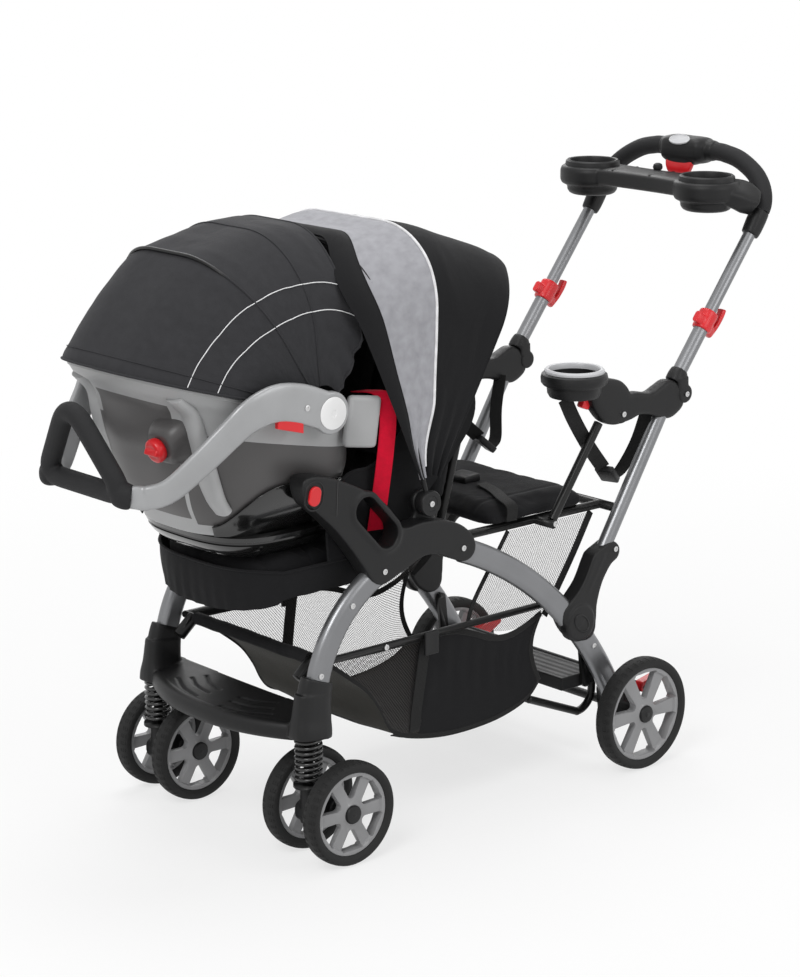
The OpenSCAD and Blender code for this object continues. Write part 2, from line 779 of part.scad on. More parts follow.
module net(x) {
    corners = [for (c = net_corner_shares) [net_y + c[0] * net_l, net_z + c[1] * net_drop]];
    middle = (corners[0] + corners[1] + corners[2]) / 3;
    inner = [for (c = corners) c + net_border_share * (middle - c)];
    rows = floor(net_drop / net_pitch);
    columns = floor(net_l / net_pitch);
    plate(x, net_t) difference() {
        polygon(corners);
        intersection() {
            polygon(inner);
            for (i = [0 : columns], j = [0 : rows])
                translate([net_y + i * net_pitch, net_z - j * net_pitch]) rotate(45)
                    square(net_gap, center = true);
        }
    }
}

module basket() {
    last = len(basket_drop_shares) - 1;
    color([0.16, 0.16, 0.16]) {
        bowl([for (i = [last : -1 : 0]) basket_ring(i, 0, 0)],
            [for (i = [last : -1 : 0]) basket_ring(i, basket_wall, i == 0 ? 0 : basket_wall)]);
        for (k = [-1, 1]) on_side(k) net(net_x);
    }
}

module basket_frame() {
    r = rail_d / 2;
    stub = stub_l * [-cos(stub_lean), -sin(stub_lean)];
    color("black") {
        rod_x(-rail_x, 2 * rail_x, [rail_y[0], rail_z], r);
        for (k = [-1, 1]) on_side(k) {
            rod_yz(rail_x, [rail_y[0], rail_z], [rail_y[1], rail_z], r);
            translate([rail_x, rail_y[0], rail_z]) sphere(r = r + elbow);
            rod_yz(rail_x - stub_d, [rail_y[0], rail_z], [rail_y[0], rail_z] + stub, stub_d / 2);
        }
    }
}

// Footrest: a curved pan with a front lip and a socket at each leg
function foot_edge(x, inset) = foot_front_y + inset + foot_bow * pow(x / foot_x, 2);
foot_steps = 12;

module foot_plan(inset) {
    front = [for (i = [0 : foot_steps]) let (x = foot_x * (2 * i / foot_steps - 1)) [x, foot_edge(x, inset)]];
    polygon(concat(front, [[foot_x, foot_rear_y], [-foot_x, foot_rear_y]]));
}

module footrest() {
    color("dimgray") difference() {
        union() {
            translate([0, 0, foot_pan_z]) linear_extrude(foot_pan_t) foot_plan(0);
            translate([0, 0, foot_lip_z[0]]) linear_extrude(foot_lip_z[1] - foot_lip_z[0]) difference() {
                foot_plan(0);
                foot_plan(foot_lip_t);
            }
            for (i = [1 : foot_rib_rows]) translate([0, 0, foot_pan_z + foot_pan_t - eps])
                linear_extrude(foot_rib_h + eps) intersection() {
                    difference() {
                        foot_plan(i * foot_rib_pitch);
                        foot_plan(i * foot_rib_pitch + foot_rib_t);
                    }
                    translate([-foot_x * foot_rib_share, foot_front_y])
                        square([2 * foot_x * foot_rib_share, foot_rear_y - foot_front_y - foot_rib_pitch]);
                }
            for (k = [-1, 1]) translate([k * caster_x, socket_y, spring_high_z])
                soft_box(socket_size, socket_round);
        }
        for (k = [-1, 1]) on_side(k) {
            front_leg_room();
            translate([caster_x, caster_y, spring_high_z - eps])
                cylinder(d = strut_d + 2 * running_gap,
                    h = strut_high_z + strut_travel + strut_end - spring_high_z);
        }
    }
}

// Suspension: rod, coil spring and caster fork
module strut(s) {
    color("black") on_side(s) translate([caster_x, caster_y, 0]) {
        translate([0, 0, strut_low_z]) cylinder(d = strut_d, h = strut_high_z - strut_low_z);
        translate([0, 0, spring_low_z - strut_flange_t]) cylinder(d = strut_flange_d, h = strut_flange_t);
    }
}

coil_rings = 8;
coil_sides = 6;
coil_low = spring_low_z + seat_gap + wire_d / 2;
coil_high = spring_high_z - seat_gap - wire_d / 2;
function coil_at(i) = let (a = 360 * i / coil_rings)
    [spring_d / 2 * cos(a), spring_d / 2 * sin(a),
     coil_low + (coil_high - coil_low) * i / coil_rings / spring_turns];
function coil_way(i) = let (a = 360 * i / coil_rings) [-sin(a), cos(a), 0];
function coil_ring(i, shift) = let (a = 360 * i / coil_rings, c = coil_at(i) + shift * coil_way(i))
    [for (k = [0 : coil_sides - 1]) let (b = 360 * k / coil_sides)
        c + wire_d / 2 * (cos(b) * [0, 0, 1] + sin(b) * [cos(a), sin(a), 0])];
coil_last = coil_rings * spring_turns;
coil_clear = min([for (i = [0 : coil_last - coil_rings])
    norm(coil_at(i + coil_rings) - coil_at(i))]) - wire_d;
echo(least_gap_between_spring_turns = coil_clear);

module spring(s) {
    color("black") on_side(s) translate([caster_x, caster_y, 0])
        skin(concat([coil_ring(0, -wire_d)], [for (i = [0 : coil_last]) coil_ring(i, 0)],
            [coil_ring(coil_last, wire_d)]));
}

module caster_fork(s) {
    top = spring_low_z - strut_flange_t - seat_gap;
    arm = [[caster_y - fork_stem_d / 2, fork_low_z], [caster_y - fork_stem_d / 2, fork_low_z + fork_stem_d],
           [caster_y + fork_stem_d / 2, fork_low_z + fork_stem_d + fork_axle_r],
           [axle_y + fork_axle_r, axle_z + fork_axle_r], [axle_y + fork_axle_r, axle_z - fork_axle_r],
           [axle_y - fork_axle_r, fork_low_z]];
    half = wheel_pair / 2;
    inner = half - front_wheel_w / 2 - wheel_hub_proud - seat_gap;
    color("black") on_side(s) difference() {
        union() {
            translate([caster_x, caster_y, fork_low_z]) cylinder(d = fork_stem_d, h = top - fork_low_z);
            plate(caster_x - fork_arm_t / 2, fork_arm_t) polygon(rounded(arm, fork_round));
            rod_x(caster_x - inner, 2 * inner, [axle_y, axle_z], fork_boss_d / 2);
            rod_x(caster_x - half - front_wheel_w / 2, wheel_pair + front_wheel_w, [axle_y, axle_z],
                axle_d / 2);
        }
        translate([caster_x, caster_y, strut_low_z - seat_gap])
            cylinder(d = strut_d + 2 * running_gap, h = top - strut_low_z + 2 * seat_gap);
    }
}

// A wheel along X: tyre, rim with wide spokes and hub with a running bore
module wheel(d, w) {
    r = d / 2;
    rim_out = r - tyre_deep;
    rim_t = w * rim_t_share;
    window_out = rim_out - rim_ring;
    window_in = wheel_hub_r + rim_ring;
    tyre = [[rim_out - eps, -w / 2], [r, -w / 2], [r, w / 2], [rim_out - eps, w / 2]];
    out_turn = 180 / wheel_spokes - spoke_half_turn / 2;
    in_turn = 180 / wheel_spokes - spoke_half_turn;
    window = concat([for (k = [-2 : 2]) window_out * [cos(out_turn * k / 2), sin(out_turn * k / 2)]],
        [for (k = [2 : -1 : -2]) window_in * [cos(in_turn * k / 2), sin(in_turn * k / 2)]]);
    rotate([0, 90, 0]) difference() {
        union() {
            rotate_extrude($fn = 72) polygon(rounded(tyre, tyre_round));
            difference() {
                cylinder(r = rim_out, h = rim_t, center = true, $fn = 72);
                for (i = [0 : wheel_spokes - 1]) rotate(360 * i / wheel_spokes)
                    translate([0, 0, -rim_t]) linear_extrude(2 * rim_t)
                        polygon(rounded(window, rim_ring / 2));
            }
            cylinder(r = wheel_hub_r, h = w + 2 * wheel_hub_proud, center = true);
        }
        cylinder(d = axle_d + 2 * running_gap, h = w * 2, center = true);
    }
}

module front_wheel(x) {
    color("gray") translate([x, axle_y, axle_z]) wheel(front_wheel_d, front_wheel_w);
}

module rear_wheel(s) {
    color("gray") translate([s * rear_wheel_x, rear_axle_y, rear_wheel_d / 2])
        wheel(rear_wheel_d, rear_wheel_w);
}

// Rear axle with its end blocks, brake pins and brake pedals
module rear_axle() {
    z = rear_wheel_d / 2;
    block_in = rear_leg_out - axle_block_in;
    block = [[rear_axle_y - axle_block_half, z - axle_block_low],
             [rear_axle_y - axle_block_half - axle_block_lean, z + axle_block_high],
             [brake_pin[0] - axle_block_nose, brake_pin[1] + brake_arm_r],
             [brake_pin[0] + brake_arm_r, brake_pin[1]],
             [rear_axle_y + axle_block_half, z - axle_block_low]];
    hub_face = rear_wheel_x - rear_wheel_w / 2 - wheel_hub_proud - seat_gap;
    color("dimgray") {
        rod_x(-block_in - eps, 2 * block_in + 2 * eps, [rear_axle_y, z], axle_tube_d / 2);
        for (k = [-1, 1]) on_side(k) {
            difference() {
                plate(block_in, brake_x[0] - seat_gap - block_in) polygon(rounded(block, axle_block_round));
                rear_leg_room();
            }
            rod_x(block_in, hub_face - block_in, [rear_axle_y, z], fork_boss_d / 2);
            rod_x(block_in, rear_wheel_x + rear_wheel_w / 2 - block_in, [rear_axle_y, z], axle_d / 2);
            rod_x(block_in, brake_x[1] - block_in, brake_pin, brake_pin_d / 2);
        }
    }
}

module brake_pedal(s) {
    pad = [brake_pin + [-brake_arm_r, -brake_arm_r / 2], brake_pin + [-brake_arm_r / 2, brake_arm_r],
           brake_pin + [brake_reach, brake_arm_r + brake_pad_t], brake_pin + [brake_reach, brake_arm_r],
           brake_pin + [brake_arm_r, -brake_arm_r]];
    color("red") on_side(s) difference() {
        plate(brake_x[0], brake_x[1] - brake_x[0]) polygon(rounded(pad, brake_pad_t / 3));
        rod_x(brake_x[0] - eps, brake_x[1] - brake_x[0] + 2 * eps, brake_pin,
            brake_pin_d / 2 + running_gap);
    }
}

// Standing platform with its ridges, and the frame that hangs it from the legs
module platform() {
    depth = platform_y[1] - platform_y[0];
    color("dimgray") {
        translate([-platform_x, platform_y[0], platform_z[0]]) difference() {
            cube([2 * platform_x, depth, platform_z[1] - platform_z[0] + platform_lip]);
            translate([platform_rim, platform_rim, platform_z[1] - platform_z[0]])
                cube([2 * (platform_x - platform_rim), depth - 2 * platform_rim, platform_lip + eps]);
        }
        for (i = [1 : ridge_rows])
            translate([2 * platform_rim - platform_x, platform_y[0] + depth * i / (ridge_rows + 1),
                       platform_z[1] - eps])
                cube([2 * platform_x - 4 * platform_rim, platform_rim, ridge_h + eps]);
    }
}

module platform_frame() {
    r = ubar_d / 2;
    bend = [ubar_rear_y - ubar_bend_r, ubar_low[1] + ubar_bend_r];
    side = [link_plate_w / 2, 0];
    color("black") {
        rod_x(-ubar_x, 2 * ubar_x, ubar_front, r);
        for (k = [-1, 1]) on_side(k) {
            plate(link_plate_x, link_plate_t) {
                for (p = [link_plate_top, link_plate_foot]) translate(p) circle(d = link_plate_w);
                polygon([link_plate_top - side, link_plate_top + side,
                         link_plate_foot + side, link_plate_foot - side]);
            }
            translate([ubar_x, ubar_front[0], ubar_front[1]]) sphere(r = r + elbow);
            rod_yz(ubar_x, ubar_front, [bend[0], ubar_low[1]], r);
            translate([ubar_x, bend[0], ubar_low[1]]) sphere(r = r + elbow);
            translate([ubar_x, bend[0], bend[1]]) rotate([90, 0, 90]) rotate([0, 0, -90])
                rotate_extrude(angle = 90) translate([ubar_bend_r, 0]) circle(r = r);
            rod_yz(ubar_x, [ubar_rear_y, bend[1]], [ubar_rear_y, ubar_top_z], r);
        }
    }
}

// Folding handle: upper tubes with hinge lugs, grip bar, hub, console and latches
module upper_tube(s) {
    foot = knee_lug_r * lug_foot_share;
    fit = [at_knee(-knee_fit_half, seat_gap), at_knee(-knee_fit_half, knee_fit_l),
           at_knee(knee_fit_half, knee_fit_l), at_knee(fold_pin_back + knee_lug_r, knee_lug_r),
           at_knee(fold_pin_back + knee_lug_r, -foot), at_knee(fold_pin_back - foot, -foot),
           at_knee(knee_fit_half, seat_gap)];
    color("silver") on_side(s) difference() {
        union() {
            tube_yz(frame_x, knee + knee_fit_l / 2 * up_dir, tube_top, tube_d / 2);
            plate(frame_x - knee_lug_t / 2, knee_lug_t) polygon(rounded(fit, knee_lug_r / 3));
        }
        rod_x(frame_x - knee_lug_t, 2 * knee_lug_t, fold_pin, fold_pin_d / 2 + running_gap);
    }
}

module grip_path(r) {
    run = frame_x - grip_bend_r;
    rise = grip_rise - grip_bend_r;
    translate([0, grip_foot[0], grip_foot[1]]) rotate([-grip_lean, 0, 0]) {
        translate([-run, 0, grip_rise]) rotate([0, 90, 0]) cylinder(r = r, h = 2 * run);
        for (k = [-1, 1]) on_side(k) {
            translate([frame_x, 0, 0]) cylinder(r = r, h = rise);
            translate([run, 0, rise]) rotate([90, 0, 0]) rotate_extrude(angle = 90)
                translate([grip_bend_r, 0]) circle(r = r);
        }
    }
}

module grip_bar() { color([0.1, 0.1, 0.1]) grip_path(grip_r); }

module handle_hub() {
    pocket = [trigger_size[0] + 2 * move_gap, trigger_size[1] + 2 * move_gap];
    floor_z = grip_top[1] - handle_hub_size[2] / 2;
    color("dimgray") difference() {
        translate([0, handle_hub_y, floor_z]) soft_box(handle_hub_size, handle_hub_round);
        grip_path(grip_r + seat_gap);
        translate([-pocket[0] / 2, trigger_y - pocket[1] / 2, floor_z - eps])
            cube([pocket[0], pocket[1], trigger_size[2] - trigger_proud + trigger_travel + trigger_end]);
    }
}

module fold_trigger() {
    low = grip_top[1] - handle_hub_size[2] / 2 - trigger_proud;
    color("red") translate([0, trigger_y, low]) soft_box(trigger_size, trigger_size[1] / 3);
}

module console() {
    body = [[-console_x, console_y[0]], [console_x, console_y[0]], [console_x, console_y[1]],
            [-console_x, console_y[1]]];
    shoulder = [for (i = [0 : 2]) bracket_outline[i], [console_y[1], console_top_z - console_t]];
    color("dimgray") difference() {
        union() {
            translate([0, 0, console_top_z - console_t]) linear_extrude(console_t)
                polygon(rounded(body, bracket_round));
            for (k = [-1, 1]) on_side(k) {
                translate([console_cup_x, console_cup_y, console_top_z - cup_depth - cup_wall])
                    cylinder(d = cup_d + 2 * cup_wall, h = cup_depth + cup_wall);
                plate(frame_x - bracket_t / 2, bracket_t) polygon(rounded(bracket_outline, bracket_round));
                plate(console_x - bracket_t, frame_x - console_x + bracket_t / 2)
                    polygon(rounded(shoulder, bracket_round));
            }
        }
        for (k = [-1, 1]) on_side(k) {
            translate([console_cup_x, console_cup_y, console_top_z - cup_depth])
                cylinder(d = cup_d, h = cup_depth + eps);
            rod_yz(frame_x, knee, tube_top + seat_gap * up_dir, tube_d / 2 + seat_gap);
        }
        grip_path(grip_r + seat_gap);
        translate([0, -seat_gap * grip_dir[0], -seat_gap * grip_dir[1]]) grip_path(grip_r + seat_gap);
    }
}

module latch_collar(s) {
    foot = knee + collar_along * up_dir;
    color("red") on_side(s) difference() {
        union() {
            rod_yz(frame_x, foot, foot + collar_l * up_dir, collar_r);
            translate([frame_x, foot[0], foot[1]]) rotate([-upper_lean, 0, 0])
                translate([-collar_tab[0] / 2, tube_d / 2 + eps, 0]) cube(collar_tab);
        }
        rod_yz(frame_x, foot - eps * up_dir, foot + (collar_l + eps) * up_dir, tube_d / 2 + running_gap);
    }
}

// Bows and cloth of the canopies: an arch in a plane that leans about its pivot
function arch(w, r, bend, r0) = let (side = concat([[w, r0], [w, (r0 + r - bend) / 2]],
        [for (i = [0 : arch_steps]) let (a = 90 * i / arch_steps)
            [w - bend + bend * cos(a), r - bend + bend * sin(a)]]))
    concat(side, [for (i = [len(side) - 1 : -1 : 0]) [-side[i][0], side[i][1]]]);
function leaned(p, pivot, lean) = [p[0], pivot[0] + p[1] * sin(lean), pivot[1] + p[1] * cos(lean)];

module hood(pivot, leans, reaches, w, bend, r0, t) {
    m = len(leans);
    outer = [for (i = [0 : m - 1])
        [for (p = arch(w, reaches[i], bend, r0)) leaned(p, pivot, leans[i])]];
    inner = [for (i = [0 : m - 1])
        [for (p = arch(w - t, reaches[i] - t, bend - t, r0)) leaned(p, pivot, leans[i])]];
    n = len(outer[0]);
    h = m * n;
    sheet = [for (i = [0 : m - 2], j = [0 : n - 2]) let (a = i * n + j, b = a + 1, c = b + n, d = a + n)
        each [[a, b, c], [a, c, d], [h + a, h + c, h + b], [h + a, h + d, h + c]]];
    ends = [for (j = [0 : n - 2]) let (z = h - n + j)
        each [[j + 1, j, h + j], [j + 1, h + j, h + j + 1], [z, z + 1, h + z + 1], [z, h + z + 1, h + z]]];
    feet = [for (i = [0 : m - 2]) let (a = i * n, b = a + n, y = a + n - 1, z = y + n)
        each [[a, b, h + b], [a, h + b, h + a], [z, y, h + y], [z, h + y, h + z]]];
    polyhedron(concat([for (s = outer) each s], [for (s = inner) each s]), concat(sheet, ends, feet),
        convexity = 8);
}

module bow(pivot, lean, w, r, bend, d) {
    translate([0, pivot[0], pivot[1]]) rotate([-lean, 0, 0]) {
        translate([-w + bend, 0, r]) rotate([0, 90, 0]) cylinder(d = d, h = 2 * (w - bend));
        for (k = [-1, 1]) on_side(k) {
            translate([w, 0, 0]) cylinder(d = d, h = r - bend);
            translate([w - bend, 0, r - bend]) rotate([90, 0, 0]) rotate_extrude(angle = 90)
                translate([bend, 0]) circle(d = d);
        }
    }
}

canopy_disc_x = hub_in_x + ear_t + seat_gap;
bow_x = canopy_disc_x + canopy_disc_t / 2;

module canopy_front_bow() {
    color("black") difference() {
        union() {
            bow(canopy_pivot, canopy_front_lean, bow_x, canopy_r, canopy_corner_r, bow_d);
            for (k = [-1, 1]) on_side(k) rod_x(canopy_disc_x, canopy_disc_t, canopy_pivot, canopy_ear_r);
        }
        for (k = [-1, 1]) on_side(k)
            rod_x(canopy_disc_x - eps, canopy_disc_t + 2 * eps, canopy_pivot, canopy_pin_d / 2 + running_gap);
    }
}

function panel(from, to) = [for (i = [0 : panel_steps]) from + (to - from) * i / panel_steps];

module canopy_fabric() {
    rear_panel = panel(bow_mid_lean, canopy_rear_lean);
    leans = concat(panel(canopy_front_lean, bow_mid_lean), [for (i = [1 : panel_steps]) rear_panel[i]]);
    edge = canopy_r + bow_d / 2 + seat_gap + cloth_t;
    reaches = [for (i = [0 : len(leans) - 1])
        edge - cloth_dip * pow(sin(180 * i / panel_steps), 2) - i * cloth_fall];
    color([0.2, 0.2, 0.2])
        hood(canopy_pivot, leans, reaches, bow_x + bow_d / 2 + seat_gap + cloth_t, canopy_corner_r,
            canopy_r0, cloth_t);
}

// Infant carrier
carrier_pivot = [carrier_pivot_y, carrier_pivot_z];
function carrier_ring(u, shrink, lift) =
    ring([0, carrier_mid_y + carrier_lean * (1 - u), carrier_shell_z + u * carrier_h + lift],
        [carrier_x * lookup(u, carrier_width_shares) - shrink,
         carrier_l / 2 * lookup(u, carrier_length_shares) - shrink], carrier_edge, carrier_slope * u);

module carrier_shell() {
    color("darkgray") difference() {
        union() {
            bowl([for (u = carrier_rise_shares) carrier_ring(u, 0, 0)],
                [for (u = carrier_rise_shares) carrier_ring(u, carrier_wall, u == 0 ? carrier_wall : 0)]);
            for (k = [-1, 1]) on_side(k) {
                rod_x(carrier_arm_x - seat_gap - carrier_ear_t, carrier_ear_t, carrier_pivot, carrier_ear_r);
                rod_x(carrier_arm_x - seat_gap - carrier_ear_t, carrier_ear_t + carrier_arm_t, carrier_pivot,
                    carrier_pin_d / 2);
                rod_x(carrier_bow_x - carrier_bow_disc[1] / 2, carrier_arm_x - carrier_bow_x, carrier_pivot,
                    carrier_bow_pin_d / 2);
            }
        }
        translate(knob_place) rotate([knob_tilt, 0, 0])
            cylinder(d = knob_d + 2 * running_gap, h = 2 * knob_l, center = true);
    }
}

module carrier_base() {
    color([0.08, 0.08, 0.08]) skin([for (l = carrier_base_shares)
        ring([0, carrier_mid_y + carrier_lean, carrier_base_z + l[0] * carrier_base_h],
            [carrier_x * l[1], carrier_l * l[2]], carrier_edge)]);
}

module carrier_pad() {
    inset = carrier_wall + pad_gap;
    color([0.15, 0.15, 0.15]) bowl(
        [for (u = carrier_rise_shares) carrier_ring(u * pad_rise_share, inset, u == 0 ? inset : 0)],
        [for (u = carrier_rise_shares)
            carrier_ring(u * pad_rise_share, inset + pad_wall, u == 0 ? inset + pad_wall : 0)]);
}

function arm_point(s) = [carrier_arm_x + carrier_arm_t / 2 - s[2] * carrier_arm_in,
    carrier_pivot_y - s[0] * carrier_arm_reach, carrier_pivot_z + s[1] * carrier_arm_drop];
arm_sides = 16;
arm_edge = 0.6;
function blunt(v) = sign(v) * pow(abs(v), arm_edge);

module carrier_arm() {
    pts = [for (s = carrier_arm_shares) arm_point(s)];
    last = len(pts) - 1;
    skin([for (i = [0 : last])
        let (w = unit(pts[min(i + 1, last)] - pts[max(i - 1, 0)]), up = unit([0, -w[2], w[1]]),
             half = carrier_arm_half * carrier_arm_shares[i][3])
        [for (k = [0 : arm_sides - 1]) let (a = 360 * k / arm_sides)
            pts[i] + half * blunt(cos(a)) * up
                + (carrier_arm_t / 2 - seat_gap) * blunt(sin(a)) * [1, 0, 0]]]);
}

module catch_outline(grow, deeper) {
    polygon([[catch_y[0] - grow, catch_z[0] - grow], [catch_y[1] + grow, catch_z[1] - grow],
             [catch_y[1] + grow, catch_z[1] + catch_h + grow + deeper],
             [catch_y[0] - grow, catch_z[0] + catch_h + grow + deeper]]);
}

catch_x = carrier_arm_x + (carrier_arm_t - catch_t) / 2;

module carrier_handle() {
    color("silver") for (k = [-1, 1]) on_side(k) difference() {
        union() {
            carrier_arm();
            rod_x(carrier_arm_x, carrier_arm_t, carrier_pivot, carrier_disc_r);
        }
        rod_x(carrier_arm_x - eps, carrier_arm_t + 2 * eps, carrier_pivot, carrier_pin_d / 2 + running_gap);
        plate(catch_x - move_gap, catch_t + 2 * move_gap) catch_outline(move_gap, catch_travel + move_gap);
        delta_sleeve(seat_gap);
    }
}

// The moulded end of the grip that sleeves an arm
module delta_sleeve(grow) {
    mouth = arm_point(carrier_arm_shares[len(carrier_arm_shares) - 1]);
    rod_between(delta_base, mouth + unit(mouth - delta_base) * grow, delta_sleeve_r + grow);
}

module delta_bars() {
    left = delta_base;
    right = [-delta_base[0], delta_base[1], delta_base[2]];
    for (b = [[left, right], [left, delta_apex], [right, delta_apex]]) rod_between(b[0], b[1], delta_r);
    for (p = [left, right, delta_apex]) translate(p) sphere(r = delta_r + elbow);
    for (k = [-1, 1]) on_side(k) delta_sleeve(0);
}

module carrier_grip() { color([0.12, 0.12, 0.12]) delta_bars(); }

module carrier_handle_catches() {
    color("red") for (k = [-1, 1]) on_side(k) plate(catch_x, catch_t) catch_outline(0, 0);
}

module carrier_release_knob() {
    color("red") translate(knob_place) rotate([knob_tilt, 0, 0])
        translate([0, 0, -carrier_wall]) cylinder(d = knob_d, h = knob_l);
}

carrier_hood_last = len(carrier_hood_leans) - 1;
carrier_hood_span = carrier_hood_leans[0] - carrier_hood_leans[carrier_hood_last];
carrier_hood_grow = carrier_hem_r - carrier_canopy_r;
carrier_reaches = [for (a = carrier_hood_leans) carrier_canopy_r
    + carrier_hood_grow * pow((carrier_hood_leans[0] - a) / carrier_hood_span, carrier_hood_curve)];

module carrier_canopy() {
    order = [carrier_hood_last : -1 : 0];
    color([0.2, 0.2, 0.2]) hood(carrier_pivot, [for (i = order) carrier_hood_leans[i]],
        [for (i = order) carrier_reaches[i]], carrier_hood_x, carrier_hood_corner_r, carrier_hood_r0,
        cloth_t);
}

module carrier_canopy_bow() {
    reach = carrier_reaches[2] - cloth_t - seat_gap - carrier_bow_d;
    color("black") difference() {
        union() {
            bow(carrier_pivot, carrier_bow_lean, carrier_bow_x, reach, carrier_bow_corner_r, carrier_bow_d);
            for (k = [-1, 1]) on_side(k)
                rod_x(carrier_bow_x - carrier_bow_disc[1] / 2, carrier_bow_disc[1], carrier_pivot,
                    carrier_bow_disc[0]);
        }
        for (k = [-1, 1]) on_side(k) rod_x(carrier_bow_x - carrier_bow_disc[1], 2 * carrier_bow_disc[1],
            carrier_pivot, carrier_bow_pin_d / 2 + running_gap);
    }
}

// Screws and bolt heads on the outer faces: place along Y and Z, and the face
bolt_shares = [[0.908, 0.207], [0.430, 0.180]];
link_bolt_shares = [[0.90, 0.89], [0.33, 0.20]];
arm_bolt_shares = [[-0.655, -0.44]];
bolt_places = concat(
    [for (s = placed(bolt_shares, hub_origin, hub_size)) [s, hub_out_x]],
    [for (s = placed(link_bolt_shares, link_origin, link_size)) [s, frame_x + link_t / 2]],
    [for (s = placed(arm_bolt_shares, knee, [arm_reach, arm_depth])) [s, frame_x + arm_t / 2]]);

module fasteners() {
    color("silver") for (k = [-1, 1], b = bolt_places)
        on_side(k) rod_x(b[1] + bolt_gap, bolt_h, b[0], bolt_r);
}

rear_leg(1);  // rear_leg_left
rear_leg(-1);  // rear_leg_right
front_leg(1);  // front_leg_left
front_leg(-1);  // front_leg_right
side_hub(1);  // side_hub_left
side_hub(-1);  // side_hub_right
lower_tube(1);  // lower_tube_left
lower_tube(-1);  // lower_tube_right
rear_link(1);  // rear_link_left
rear_link(-1);  // rear_link_right
armrest(1);  // armrest_left
armrest(-1);  // armrest_right
seat_strut(1);  // seat_strut_left
seat_strut(-1);  // seat_strut_right
seat_frame();
jump_seat();
front_seat();
seat_back();
basket();
basket_frame();
footrest();
rear_axle();
platform();
platform_frame();
fasteners();
strut(1);  // strut_left
strut(-1);  // strut_right
spring(1);  // spring_left
spring(-1);  // spring_right
caster_fork(1);  // caster_fork_left
caster_fork(-1);  // caster_fork_right
front_wheel(caster_x + wheel_pair / 2);  // front_wheel_left_outer
front_wheel(caster_x - wheel_pair / 2);  // front_wheel_left_inner
front_wheel(wheel_pair / 2 - caster_x);  // front_wheel_right_inner
front_wheel(-caster_x - wheel_pair / 2);  // front_wheel_right_outer
rear_wheel(1);  // rear_wheel_left
rear_wheel(-1);  // rear_wheel_right
brake_pedal(1);  // brake_pedal_left
brake_pedal(-1);  // brake_pedal_right
upper_tube(1);  // upper_tube_left
upper_tube(-1);  // upper_tube_right
grip_bar();
handle_hub();
console();
fold_trigger();
latch_collar(1);  // latch_collar_left
latch_collar(-1);  // latch_collar_right
canopy_front_bow();
canopy_fabric();
hub_button(1);  // hub_button_left
hub_button(-1);  // hub_button_right
carrier_shell();
carrier_base();
carrier_handle();
carrier_grip();
carrier_canopy();
carrier_canopy_bow();
carrier_pad();
carrier_handle_catches();
carrier_release_knob();
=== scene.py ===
"""Tandem stroller with a lift-off infant carrier: the looks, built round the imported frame."""
import json
import math

import bmesh
import bpy
from bpy.props import FloatProperty, FloatVectorProperty, PointerProperty
from mathutils import Matrix, Vector, kdtree, noise

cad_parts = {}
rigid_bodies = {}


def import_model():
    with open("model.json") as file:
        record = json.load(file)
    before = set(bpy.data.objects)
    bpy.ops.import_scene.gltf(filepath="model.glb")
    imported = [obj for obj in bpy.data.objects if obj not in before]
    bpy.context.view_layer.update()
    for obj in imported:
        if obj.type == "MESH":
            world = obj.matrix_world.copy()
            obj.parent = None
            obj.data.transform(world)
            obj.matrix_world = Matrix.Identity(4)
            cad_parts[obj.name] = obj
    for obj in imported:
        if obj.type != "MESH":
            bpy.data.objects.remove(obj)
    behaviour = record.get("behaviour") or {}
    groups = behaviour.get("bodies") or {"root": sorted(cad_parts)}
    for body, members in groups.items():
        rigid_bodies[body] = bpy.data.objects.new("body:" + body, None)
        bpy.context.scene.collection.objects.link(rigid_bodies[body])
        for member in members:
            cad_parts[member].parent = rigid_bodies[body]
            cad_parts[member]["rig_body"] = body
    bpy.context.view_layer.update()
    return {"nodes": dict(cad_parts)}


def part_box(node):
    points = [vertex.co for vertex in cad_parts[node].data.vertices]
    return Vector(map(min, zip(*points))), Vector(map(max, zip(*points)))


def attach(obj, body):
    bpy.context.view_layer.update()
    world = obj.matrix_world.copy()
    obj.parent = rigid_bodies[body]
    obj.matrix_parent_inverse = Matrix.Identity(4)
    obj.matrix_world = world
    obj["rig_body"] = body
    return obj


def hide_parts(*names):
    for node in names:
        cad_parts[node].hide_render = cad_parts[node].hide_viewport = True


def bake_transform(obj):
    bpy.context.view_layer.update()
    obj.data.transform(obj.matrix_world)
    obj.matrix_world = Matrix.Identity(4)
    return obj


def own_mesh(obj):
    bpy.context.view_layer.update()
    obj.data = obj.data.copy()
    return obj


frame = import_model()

bl_info = {
    "name": "Tandem Stroller",
    "version": (1, 0, 0),
    "blender": (4, 5, 0),
    "location": "View3D > Sidebar > Stroller",
    "description": "Dresses the packed stroller frame with cloth, trim, wheels and finishes",
    "category": "Object",
}

NODES = frame["nodes"]
MM = 0.001
SIDES = (("left", 1), ("right", -1))
FRONT_WHEELS = {"left_outer": 251, "left_inner": 149, "right_inner": -149, "right_outer": -251}
FRONT_AXLE, FRONT_RADIUS, FRONT_WIDE = -343, 86, 32
REAR_AXLE, REAR_RADIUS, REAR_WIDE, REAR_TRACK = 334, 100, 34, 246

# A slot with its usual finish
MOULDED = ("black_plastic", "black_moulding")
PAINTED = ("silver_paint", "silver_paint")
RED = ("red_plastic", "red_plastic")
WEBBED = ("black_fabric", "black_webbing")


def mm(*place):
    """A point or a size given in millimetres."""
    return Vector(place) * MM


# Sizes and colours that a user would change

def colour(label, text, value):
    return FloatVectorProperty(name=label, description=text, default=value, subtype="COLOR", min=0, max=1)


def length(label, text, value, least, most):
    return FloatProperty(name=label, description=text, default=value, min=least, max=most,
                         subtype="DISTANCE", unit="LENGTH")


